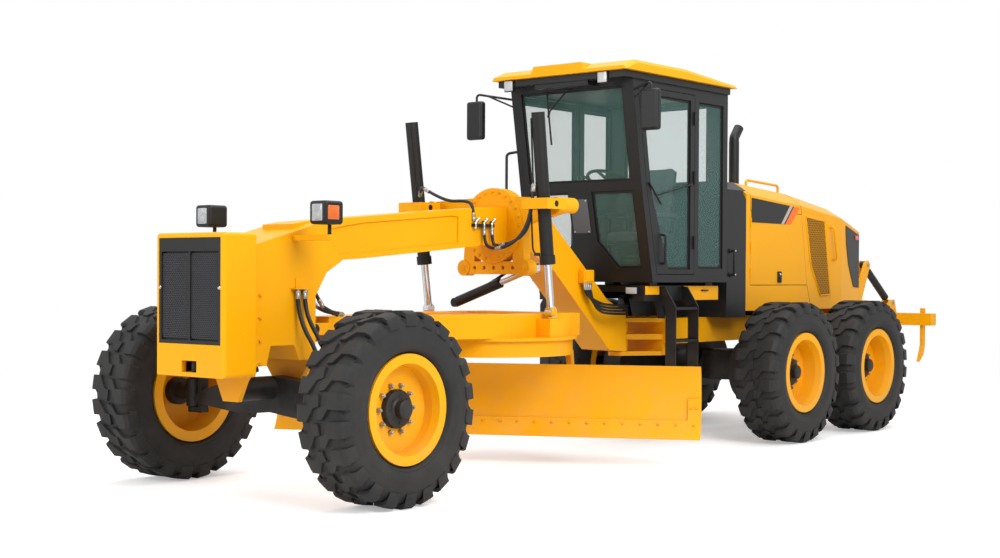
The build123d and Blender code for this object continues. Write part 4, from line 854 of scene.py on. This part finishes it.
# a hose to a moving cylinder is in two lengths that meet at a union, one on the beam and one on the cylinder
moving_routes = {
    "lift_barrel_left": [
        ([(4.193, 0.190, 1.975), (4.200, 0.200, 1.860), (4.240, 0.300, 1.800), (4.245, 0.420, 1.810)],
         [(4.245, 0.420, 1.810), (4.235, 0.530, 1.835), (4.150, 0.610, 1.980), (4.120, 0.640, 2.180),
          (4.110, 0.655, 2.330)]),
        ([(4.093, 0.190, 1.970), (4.100, 0.205, 1.860), (4.180, 0.300, 1.825), (4.205, 0.420, 1.840)],
         [(4.205, 0.420, 1.840), (4.190, 0.520, 1.860), (4.120, 0.600, 1.960), (4.095, 0.618, 2.160),
          (4.085, 0.625, 2.330)])],
    "lift_barrel_right": [
        ([(4.300, 0.165, 2.040), (4.300, 0.168, 2.170), (4.290, 0.060, 2.205), (4.300, -0.150, 2.200),
          (4.275, -0.400, 2.315)],
         [(4.275, -0.400, 2.315), (4.250, -0.460, 2.340), (4.150, -0.560, 2.320), (4.100, -0.620, 2.270)])],
    "shift_barrel": [
        ([(3.640, 0.186, 1.930), (3.632, 0.192, 1.840), (3.625, 0.170, 1.760), (3.622, 0.120, 1.700)],
         [(3.622, 0.120, 1.700), (3.620, 0.050, 1.650), (3.625, -0.080, 1.590), (3.655, -0.205, 1.507)])],
    "drawbar": [
        ([(6.090, 0.120, 1.540), (6.060, 0.150, 1.440), (6.000, 0.165, 1.350)],
         [(6.000, 0.165, 1.350), (5.930, 0.165, 1.315), (5.860, 0.150, 1.300), (5.760, 0.130, 1.286)]),
        ([(6.100, 0.060, 1.520), (6.050, 0.080, 1.400), (5.990, 0.090, 1.345)],
         [(5.990, 0.090, 1.345), (5.930, 0.095, 1.315), (5.850, 0.090, 1.300), (5.760, 0.080, 1.286)])],
}
for body, runs in moving_routes.items():
    own_hoses, own_ends = [], []
    for index, (fixed_run, moving_run) in enumerate(runs):
        hose_run(front_hoses, front_ends, f"{body}_feed_{index}", fixed_run, hose_radius)
        hose_run(own_hoses, own_ends, f"{body}_hose_{index}", moving_run, hose_radius, (-1,))
    give(join(f"{body}_hoses", own_hoses), hose_rubber, body)
    fit(f"{body}_hose_ends", own_ends, zinc, body)
nose_routes = [
    [(6.370, 0.296, 1.470), (6.372, 0.302, 1.340), (6.362, 0.360, 1.190), (6.340, 0.440, 1.070), (6.320, 0.470, 0.960)],
    [(6.302, 0.296, 1.470), (6.304, 0.302, 1.340), (6.300, 0.380, 1.200), (6.290, 0.480, 1.080), (6.280, 0.520, 0.960)],
]
for index, route in enumerate(nose_routes):
    hose_run(front_hoses, front_ends, f"nose_hose_{index}", route, nose_hose_radius, (0,))
for index in range(4):
    sink = 0.026 * index
    route = [(2.820 - 0.030 * index, 0.205, 1.520), (2.810 - 0.028 * index, 0.212, 1.430),
             (2.760 - 0.020 * index, 0.240, 1.385 - sink), (2.660, 0.290, 1.330 - sink), (2.500, 0.330, 1.318 - sink),
             (2.320, 0.330, 1.316 - sink)]
    hose_run(front_hoses, front_ends, f"neck_hose_{index}", route, neck_hose_radius, (0,))
give(join("front_hoses", front_hoses), hose_rubber, "front_frame")
fit("front_hose_ends", front_ends, zinc, "front_frame")

valve_pieces = [slab("valve_bar", at(4.060, 0.160, 1.985), at(4.320, 0.196, 2.012), 0.004)]
valve_pieces += [bar("valve_plug", at(x, 0.180, 2.012), at(x, 0.180, 2.036), 0.011, 6) for x in (4.093, 4.193, 4.285)]
fit("beam_valve_bar", valve_pieces, black_paint, "front_frame")
elbows = []
for x in (4.093, 4.193, 4.300):
    elbows += [bar("elbow_drop", at(x, 0.190, 1.968), at(x, 0.190, 2.022), 0.0115, 12),
               bar("elbow_run", at(x, 0.196, 2.022), at(x - 0.040, 0.186, 2.044), 0.0105, 12),
               bar("elbow_nut", at(x - 0.034, 0.188, 2.041), at(x - 0.052, 0.183, 2.050), 0.0165, 6)]
fit("valve_elbows", elbows, chrome, "front_frame")
yellow_blocks = [slab("neck_block", at(2.700, 0.1602, 1.520), at(2.850, 0.232, 1.640), 0.008),
                 slab("neck_block_lid", at(2.715, 0.2318, 1.535), at(2.835, 0.240, 1.625), 0.003),
                 slab("nose_hose_shelf", at(6.262, 0.2702, 1.478), at(6.412, 0.322, 1.486), 0.002),
                 slab("nose_hose_tab", at(6.300, 0.2702, 1.486), at(6.372, 0.278, 1.560), 0.003)]
fit("hose_brackets", yellow_blocks, yellow_paint, "front_frame")

# thin pipes along each lift barrel
low_pipe = [(4.030, 0.618, 1.760), (4.060, 0.606, 1.775), (4.078, 0.612, 1.860), (4.100, 0.622, 2.000),
            (4.112, 0.628, 2.080)]
top_pipe = [(4.118, 0.655, 2.330), (4.112, 0.640, 2.360), (4.116, 0.640, 2.480), (4.165, 0.660, 2.860)]
for hand, side in hands:
    pipes = [hose("low_pipe", [at(x, side * y, z) for x, y, z in low_pipe], pipe_radius),
             bar("pipe_fitting", at(4.012, side * 0.640, 1.760), at(4.046, side * 0.606, 1.760), 0.014, 6),
             hose("top_pipe", [at(x, side * y, z) for x, y, z in top_pipe], pipe_radius)]
    fit(f"barrel_pipes_{hand}", pipes, black_paint, f"lift_barrel_{hand}")

# ---------------------------------------------------------------- hood panels
# The steel hood has a blank charcoal plate with a grey and an orange stripe on each service door,
# black latches, framed mesh vents and black corner panels. They are bolted on and painted first.


def both_hands(model, name, material, body):
    """Left piece and its mirror image; a body name may hold a place for the hand."""
    for hand, side in hands:
        give(place_copy(model, f"{name}_{hand}", (0.0, 0.0, 0.0), side), material, body.format(hand=hand))
    remove(model)


def beads(name, places, radius):
    """Thin bead along a line of places."""
    return join(name, [bar(f"{name}_bead", a, b, radius, 8) for a, b in zip(places, places[1:])])


hood_y = 0.640
door_body = "service_door_{hand}"
stripe_grey = finish_material("stripe_grey", (0.42, 0.36, 0.30), (0.47, 0.41, 0.35), 0.4, dust=0.1, edge=0.0)
stripe_orange = finish_material("stripe_orange", (0.80, 0.135, 0.002), (0.88, 0.16, 0.003), 0.35, dust=0.1,
                                edge=0.0)


def stripe(name, foot_0, foot_1, head_0, head_1, proud):
    """Slanting flat band on the door plate, from foot stations to head stations under the hood's sloping edge."""
    foot_z, edge_z, edge_slope = 2.125, 2.324, 0.068
    corners = [at(foot_0, hood_y, foot_z), at(foot_1, hood_y, foot_z), at(head_1, hood_y, edge_z + edge_slope * head_1),
               at(head_0, hood_y, edge_z + edge_slope * head_0)]
    return cut_plate(name, corners, "Y", hood_y + 0.0006, hood_y + proud)


both_hands(stripe("door_plate", 0.640, 0.055, 0.640, -0.125, 0.0040), "door_plate", charcoal_paint, door_body)
both_hands(stripe("grey_stripe", 0.052, -0.006, -0.128, -0.186, 0.0038), "door_stripe_grey", stripe_grey, door_body)
both_hands(stripe("dark_stripe", -0.006, -0.030, -0.186, -0.210, 0.0036), "door_stripe_dark", black_paint, door_body)
both_hands(stripe("orange_stripe", -0.030, -0.150, -0.210, -0.330, 0.0038), "door_stripe_orange", stripe_orange,
           door_body)
latch_cover = [slab("latch_cover", at(0.048, hood_y + 0.0005, 1.528), at(0.122, hood_y + 0.0165, 1.642), 0.006),
               slab("latch_grip", at(0.062, hood_y + 0.016, 1.545), at(0.108, hood_y + 0.0215, 1.585), 0.002)]
both_hands(join("latch_cover", latch_cover), "door_latch", black_paint, door_body)
key_rows = [(0.0005, 0.0215), (0.009, 0.0215), (0.011, 0.019), (0.011, 0.012)]
key_barrel = turned_shell("key_barrel", key_rows, 20, centre=at(0.085, hood_y, 1.612))
both_hands(shade(key_barrel), "door_key", chrome, door_body)

vent_outline = [(-0.470, 2.215), (-0.880, 2.180), (-1.015, 1.400), (-0.800, 1.392), (-0.590, 1.700)]
vent_corners = [at(x, hood_y, z) for x, z in vent_outline]
# a black plate behind each vent's mesh: painted shade for the dark opening behind the mesh
both_hands(cut_plate("vent_shade_plate", vent_corners, "Y", 0.630, 0.6395), "vent_shade_plate", black_paint, "rear_frame")
# the vent and radiator meshes get a darker copy of the yellow paint, as painted shade among the strands
shaded_mesh_yellow = finish_material("shaded_mesh_yellow", (0.48, 0.205, 0.001), (0.55, 0.240, 0.001), 0.5, dust=0.15, edge=0.0)
both_hands(mesh_panel("vent_mesh", vent_corners, "Y", 0.6415, 0.036, 0.0100), "vent_mesh", shaded_mesh_yellow, "rear_frame")
hood_edges = [beads("vent_rim", vent_corners + vent_corners[:1], 0.0085)]
side_line = [(-0.430, 0.6385, 2.275), (-0.830, 0.6345, 2.243), (-0.900, 0.634, 2.205), (-0.928, 0.6335, 2.140),
             (-1.052, 0.6315, 1.360), (-0.985, 0.632, 1.338), (-0.790, 0.635, 1.345)]
hood_edges.append(beads("side_press_line", [at(*place) for place in side_line], 0.0035))
both_hands(join("hood_edges", hood_edges), "hood_edge", yellow_paint, "rear_frame")

# black beads along the door and panel gaps of the hood: painted shade in the gaps
seam_shade_lines = [[(-0.360, 0.0, 2.449), (-0.360, 0.460, 2.449), (-0.360, 0.6395, 2.3245), (-0.379, 0.6393, 2.243)],
              [(0.662, 0.0, 2.5140), (0.662, 0.4693, 2.5140), (0.662, 0.6395, 2.3940), (0.662, 0.6395, 2.243)],
              [(-0.511, 0.6380, 1.497), (-0.600, 0.6370, 1.252)]]
seam_shade_beads = [beads("seam", [at(*place) for place in line], 0.0024) for line in seam_shade_lines]
both_hands(join("hood_seam_shades", seam_shade_beads), "hood_seam_shade", black_paint, "rear_frame")

# the rear corners of the hood are drawn in: their pieces are built flat on its side and swung onto them
corner_turn = math.atan2(0.070, 0.550)
corner_start = at(-1.300, 0.630, 0.0)


def turn_about(piece, centre, angle, axis):
    """Turns a piece about an axis through a centre."""
    piece.matrix_world = Matrix.Translation(centre) @ Matrix.Rotation(angle, 4, axis) @ Matrix.Translation(-centre)
    return settle(piece)


corner_outline = [(-1.410, 2.150), (-1.838, 2.058), (-1.838, 1.470), (-1.665, 1.480), (-1.505, 1.720), (-1.432, 1.950)]
corner_panel = cut_plate("corner_panel", [at(x, 0.630, z) for x, z in corner_outline], "Y", 0.6305, 0.6365)
both_hands(turn_about(corner_panel, corner_start, corner_turn, "Z"), "corner_panel", charcoal_paint, "rear_frame")
tail_lamp = slab("tail_lamp", at(-1.800, 0.633, 2.000), at(-1.700, 0.6445, 2.048), 0.004)
both_hands(turn_about(tail_lamp, corner_start, corner_turn, "Z"), "tail_lamp", red_lens, "rear_frame")
rear_lamp = slab("rear_lamp", at(-1.8605, 0.380, 1.900), at(-1.848, 0.480, 1.960), 0.004)
both_hands(rear_lamp, "rear_lamp", red_lens, "rear_frame")
radiator_corners = [at(-1.85, y, z) for y, z in ((-0.340, 1.560), (0.340, 1.560), (0.340, 2.060), (-0.340, 2.060))]
radiator_x = radiator_corners[0].x
give(cut_plate("radiator_back", radiator_corners, "X", radiator_x - 0.0015, radiator_x + 0.01), black_paint,
     "rear_frame")
# the radiator mesh takes the same darker yellow of painted shade
give(mesh_panel("radiator_mesh", radiator_corners, "X", radiator_x - 0.0035, 0.034, 0.008), shaded_mesh_yellow, "rear_frame")
give(beads("radiator_rim", radiator_corners + radiator_corners[:1], 0.009), yellow_paint, "rear_frame")

# ---------------------------------------------------------------- tower
# The charcoal steel tower between cab and hood has a sloped cap, and on each side a black grab handle
# screwed on through two feet.
cap_corners = [at(0.75, -0.640, 2.428), at(0.75, 0.640, 2.428), at(0.75, 0.500, 2.515), at(0.75, -0.500, 2.515)]
tower_cap = cut_plate("tower_cap", cap_corners, "X", at(0.748, 0, 0).x, at(1.098, 0, 0).x)
give(tower_cap, charcoal_paint, "rear_frame")
grab = [bar("grab_bar", at(1.040, 0.688, 1.590), at(1.040, 0.688, 1.850), 0.011)]
for z in (1.605, 1.835):
    grab += [bar("grab_foot", at(1.040, 0.638, z), at(1.040, 0.690, z), 0.012),
             bar("grab_knob", at(1.040, 0.6395, z), at(1.040, 0.652, z), 0.023)]
both_hands(join("grab_handle", grab), "grab_handle", black_paint, "rear_frame")
grab_screws = [bar("grab_screw", at(1.040, 0.7005, z), at(1.040, 0.706, z), 0.010, 6) for z in (1.605, 1.835)]
both_hands(join("grab_screws", grab_screws), "grab_screw", chrome, "rear_frame")
# ---------------------------------------------------------------- cab outside
# Work lamps with clear lenses sit under the roof, front and rear, and under the cab floor. The wipers
# are sprung steel arms with rubber blades, and the mirrors have silvered glass in black housings.
lamp_bodies, lamp_lenses = [], []


def lamp_block(name, place, back, front, half_wide, half_high, edge):
    """Block round a lamp's middle, from back to front of it."""
    low, high = Vector((back, -half_wide, -half_high)), Vector((front, half_wide, half_high))
    return slab(name, place + low, place + high, edge)


for y in (0.485, -0.580):
    place = at(2.940, y, 3.332)
    lamp_bodies.append(lamp_block("roof_lamp", place, -0.024, 0.010, 0.054, 0.052, 0.006))
    lamp_lenses.append(lamp_block("roof_lamp_lens", place, 0.004, 0.016, 0.048, 0.046, 0.005))
rear_lamp_rows = [(0.020, 0.0295), (0.050, 0.024), (0.054, -0.020), (0.050, -0.026), (0.0005, -0.020)]
rear_lens_rows = [(0.047, -0.022), (0.044, -0.028), (0.0005, -0.031)]
for side in (-1, 1):
    place = at(2.462, side * 0.480, 1.455)
    lamp_bodies.append(lamp_block("floor_lamp", place, -0.0215, 0.014, 0.064, 0.034, 0.008))
    lamp_lenses.append(lamp_block("floor_lamp_lens", place, 0.008, 0.020, 0.058, 0.028, 0.005))
    rear_place = at(1.150, side * 0.600, 3.255)
    lamp_bodies.append(turned_shell("rear_work_lamp", rear_lamp_rows, 32, axis="X", centre=rear_place))
    lamp_lenses.append(turned_shell("rear_lamp_lens", rear_lens_rows, 32, axis="X", centre=rear_place))
fit("work_lamp_bodies", lamp_bodies, black_paint, "rear_frame")
white_lens = lens_material("white_lens", (0.36, 0.38, 0.40), (0.60, 0.62, 0.64))
fit("work_lamp_lenses", lamp_lenses, white_lens, "rear_frame")

wiper = [bar("wiper_spindle", at(2.772, 0.020, 3.292), at(2.806, 0.020, 3.292), 0.017),
         bar("wiper_arm", at(2.803, 0.020, 3.292), at(2.768, -0.245, 3.085), 0.008, 12),
         bar("wiper_tip", at(2.770, -0.240, 3.090), at(2.756, -0.262, 3.040), 0.012, 12),
         bar("wiper_blade", at(2.782, -0.262, 3.262), at(2.707, -0.262, 2.790), 0.008, 10),
         bar("wiper_rubber", at(2.775, -0.262, 3.262), at(2.699, -0.262, 2.790), 0.0045, 8)]
fit("windscreen_wiper", wiper, black_paint, "rear_frame")
side_wiper = [bar("side_spindle", at(1.850, 0.689, 2.436), at(1.850, 0.716, 2.436), 0.018),
              bar("side_arm", at(1.850, 0.712, 2.436), at(2.405, 0.704, 2.312), 0.007, 12),
              bar("side_blade", at(2.330, 0.700, 2.235), at(2.520, 0.700, 2.420), 0.008, 10),
              bar("side_rubber", at(2.330, 0.692, 2.235), at(2.520, 0.692, 2.420), 0.0045, 8)]
both_hands(join("door_wiper", side_wiper), "door_wiper", black_paint, "cab_door_{hand}")
mirror_faces = [slab("mirror_face", at(x - 0.0415, y - 0.080, 2.880), at(x - 0.0370, y + 0.080, 3.200), 0.0015)
                for x, y in ((2.917, -1.000), (2.760, 0.870))]
give(join("mirror_glass", mirror_faces), chrome, "rear_frame")

# a blank grey plate with four screws, built upright at the foot of the cab's front and leant onto its slope
front_slope = math.atan2(0.180, 0.821)
front_foot = at(2.440, 0.0, 1.530)
plate_grey = finish_material("plate_grey", (0.085, 0.088, 0.095), (0.10, 0.103, 0.11), 0.5, dust=0.1)
front_plate = slab("front_plate", at(2.4405, -0.115, 1.990), at(2.4465, 0.075, 2.305), 0.002)
give(turn_about(front_plate, front_foot, front_slope, "Y"), plate_grey, "rear_frame")
plate_screws = [bar("plate_screw", at(2.446, y, z), at(2.450, y, z), 0.008, 6) for y in (-0.100, 0.060)
                for z in (2.005, 2.290)]
give(turn_about(join("front_plate_screws", plate_screws), front_foot, front_slope, "Y"), chrome, "rear_frame")

# yellow covers on the battery and tool boxes under the cab, each with a handle
cover_outline = [(1.215, 1.497), (1.812, 1.497), (1.735, 1.365), (1.215, 1.365)]
cover = cut_plate("box_cover", [at(x, 0.6, z) for x, z in cover_outline], "Y", 0.6005, 0.6165)
small_cover = slab("small_cover", at(2.218, 0.6005, 1.418), at(2.436, 0.6125, 1.497), 0.004)
both_hands(join("box_covers", [cover, small_cover]), "box_covers", yellow_paint, "rear_frame")
cover_latch = [bar("cover_latch", at(1.420, 0.634, 1.455), at(1.520, 0.634, 1.455), 0.006, 12)]
cover_latch += [bar("cover_foot", at(x, 0.616, 1.455), at(x, 0.636, 1.455), 0.006, 12) for x in (1.424, 1.516)]
both_hands(join("cover_handle", cover_latch), "cover_handle", black_paint, "rear_frame")
tread_outline = [(1.833, 0.676), (2.187, 0.676), (2.187, 0.774), (1.833, 0.774)]
treads = [mesh_panel("tread_grip", [at(x, y, z) for x, y in tread_outline], "Z", z + 0.0015, 0.030, 0.006)
          for z in (0.715, 1.010, 1.305)]
both_hands(join("tread_grips", treads), "tread_grips", black_paint, "rear_frame")

# ---------------------------------------------------------------- seat and controls
# The seat has foam cushions in dark cloth, blown up by simulation, on a steel pan and a bellows base.
# Levers with moulded knobs stand either side of the steering column.
seat_height = 1.580
seat_back_centre, back_tilt = at(1.420, 0.0, 2.320), math.radians(-8.0)


def cushion(name, low, high, voxel, cap, channels=(), tilt=0.0):
    """Crowned padded piece: a block remeshed, swollen as cloth with its movement capped, then sewn along channels."""
    pad = slab(name, low, high, 0.0)
    soften(pad, min(high - low) * 0.32, 5)
    pad.data.remesh_voxel_size = voxel
    bpy.ops.object.voxel_remesh()
    start = [vertex.co.copy() for vertex in pad.data.vertices]
    cloth = pad.modifiers.new("swell", "CLOTH")
    cloth.settings.use_pressure = True
    cloth.settings.uniform_pressure_force = 4.0
    cloth.settings.effector_weights.gravity = 0.0
    for frame_number in range(1, 21):
        bpy.context.scene.frame_set(frame_number)
    swollen = pad.evaluated_get(bpy.context.evaluated_depsgraph_get())
    ends = [vertex.co.copy() for vertex in swollen.data.vertices]
    pad.modifiers.remove(cloth)
    bpy.context.scene.frame_set(1)
    for vertex, first, last in zip(pad.data.vertices, start, ends):
        step = last - first
        vertex.co = first + step * min(1.0, cap / max(step.length, 1e-6))
    middle, channel_width, channel_depth = (low + high) / 2, 0.010, 0.009
    for vertex in pad.data.vertices:
        for axis, place in channels:
            near = math.exp(-((vertex.co["XYZ".index(axis)] - place) / channel_width) ** 2)
            vertex.co += (middle - vertex.co).normalized() * channel_depth * near
    turn_about(pad, seat_back_centre, tilt, "Y")
    return give(shade(pad, 60.0), seat_cloth, "rear_frame")


cushion("seat_cushion", at(1.415, -0.235, 1.900), at(1.905, 0.235, 1.995), 0.006, 0.016,
        [("Y", -0.135), ("Y", 0.135), ("X", at(1.600, 0, 0).x)])
cushion("seat_back", at(1.372, -0.215, 1.998), at(1.465, 0.215, 2.640), 0.006, 0.016,
        [("Y", -0.125), ("Y", 0.125), ("Z", 2.240), ("Z", 2.440)], back_tilt)
for hand, side in hands:
    arm_low, arm_high = sorted((side * 0.262, side * 0.318))
    cushion(f"armrest_{hand}", at(1.460, arm_low, 2.148), at(1.822, arm_high, 2.184), 0.005, 0.005)
seat_frame = [slab("seat_pan", at(1.400, -0.240, 1.872), at(1.920, 0.240, 1.890), 0.008),
              slab("seat_foot", at(1.480, -0.170, seat_height + 0.0005), at(1.820, 0.170, seat_height + 0.030), 0.006),
              slab("seat_riser", at(1.500, -0.150, seat_height + 0.210), at(1.800, 0.150, 1.874), 0.010)]
for fold in range(4):
    foot = seat_height + 0.034 + 0.044 * fold
    seat_frame.append(slab("bellows_fold", at(1.505, -0.145, foot), at(1.795, 0.145, foot + 0.036), 0.014))
    seat_frame.append(slab("bellows_neck", at(1.530, -0.120, foot + 0.020), at(1.770, 0.120, foot + 0.052), 0.004))
back_shell = slab("back_shell", at(1.352, -0.205, 1.960), at(1.372, 0.205, 2.620), 0.012)
seat_frame.append(turn_about(back_shell, seat_back_centre, back_tilt, "Y"))
for side in (-1, 1):
    seat_frame.append(bar("arm_post", at(1.500, side * 0.262, 1.890), at(1.480, side * 0.290, 2.142), 0.016))
    arm_0, arm_1 = sorted((side * 0.270, side * 0.310))
    seat_frame.append(slab("arm_plate", at(1.465, arm_0, 2.136), at(1.815, arm_1, 2.149), 0.004))
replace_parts(fit("seat_frame", seat_frame, black_paint, "rear_frame"), "operator_seat")

levers, console_knobs = [], [slab("gauge_panel", at(2.226, -0.150, 2.392), at(2.246, 0.150, 2.412), 0.004)]
lever_knob_rows = [(0.0005, -0.022), (0.011, -0.020), (0.018, 0.0), (0.016, 0.014), (0.0005, 0.020)]
for index in range(4):
    for side in (-1, 1):
        foot = at(2.250 + 0.006 * index, side * (0.120 + 0.038 * index), 2.380)
        head = at(2.170 + 0.006 * index, side * (0.250 + 0.034 * index), 2.520)
        levers.append(bar("lever", foot, head, 0.0055, 10))
        console_knobs.append(turned_shell("knob", lever_knob_rows, 16, axis="Z", centre=head))
fit("console_levers", levers, chrome, "rear_frame")
fit("console_knobs", console_knobs, black_paint, "rear_frame")

# ---------------------------------------------------------------- blade bolts
# The cutting edge and end bits are hardened steel bars held to the moldboard by a row of bolts, with
# two more on each end bit. The bolts stand square to the blade's arc.
blade_place = Matrix.Translation(at(3.950, 0.0, 0.0)) @ Matrix.Rotation(math.radians(28.5), 4, "Z")
edge_radius, curve_x, curve_z = 0.464, 0.480, 0.565
edge_row = [-1.775 + 3.550 * index / 24 for index in range(25)]
for height, row in ((0.360, edge_row), (0.500, [-1.795, -1.750, 1.750, 1.795])):
    reach = math.sqrt(edge_radius ** 2 - (height - curve_z) ** 2)
    facing = blade_place.to_3x3() @ Vector((reach, 0.0, curve_z - height)).normalized()
    places = [blade_place @ Vector((curve_x - reach, y, height)) for y in row]
    bolt_set(f"edge_bolts_{int(height * 1000)}", places, facing, 0.011, yellow_paint, "blade")

# ---------------------------------------------------------------- ripper pins
# Each ripper linkage turns on greased steel pins. Both ends of a pin are closed by a washer and a
# hex bolt.
mast_pins = [(-2.110, 0.660), (-2.110, 0.870), (-2.300, 1.730)]
ripper_pins = [(-2.850, 1.000), (-2.850, 1.210), (-2.960, 1.290)]
link_y, pin_reach = 0.390, 0.060
for name, pins, body in (("mast_pin_ends", mast_pins, "rear_frame"), ("ripper_pin_ends", ripper_pins, "ripper")):
    ends = []
    for side in (-1, 1):
        for x, z in pins:
            for out in (side, -side):
                face, outward = at(x, side * link_y + out * pin_reach, z), Vector((0, out, 0))
                ends += [bar("pin_end", face - outward * 0.002, face + outward * 0.006, 0.026, 24),
                         bar("pin_bolt", face, face + outward * 0.010, 0.010, 6)]
    fit(name, ends, zinc, body)
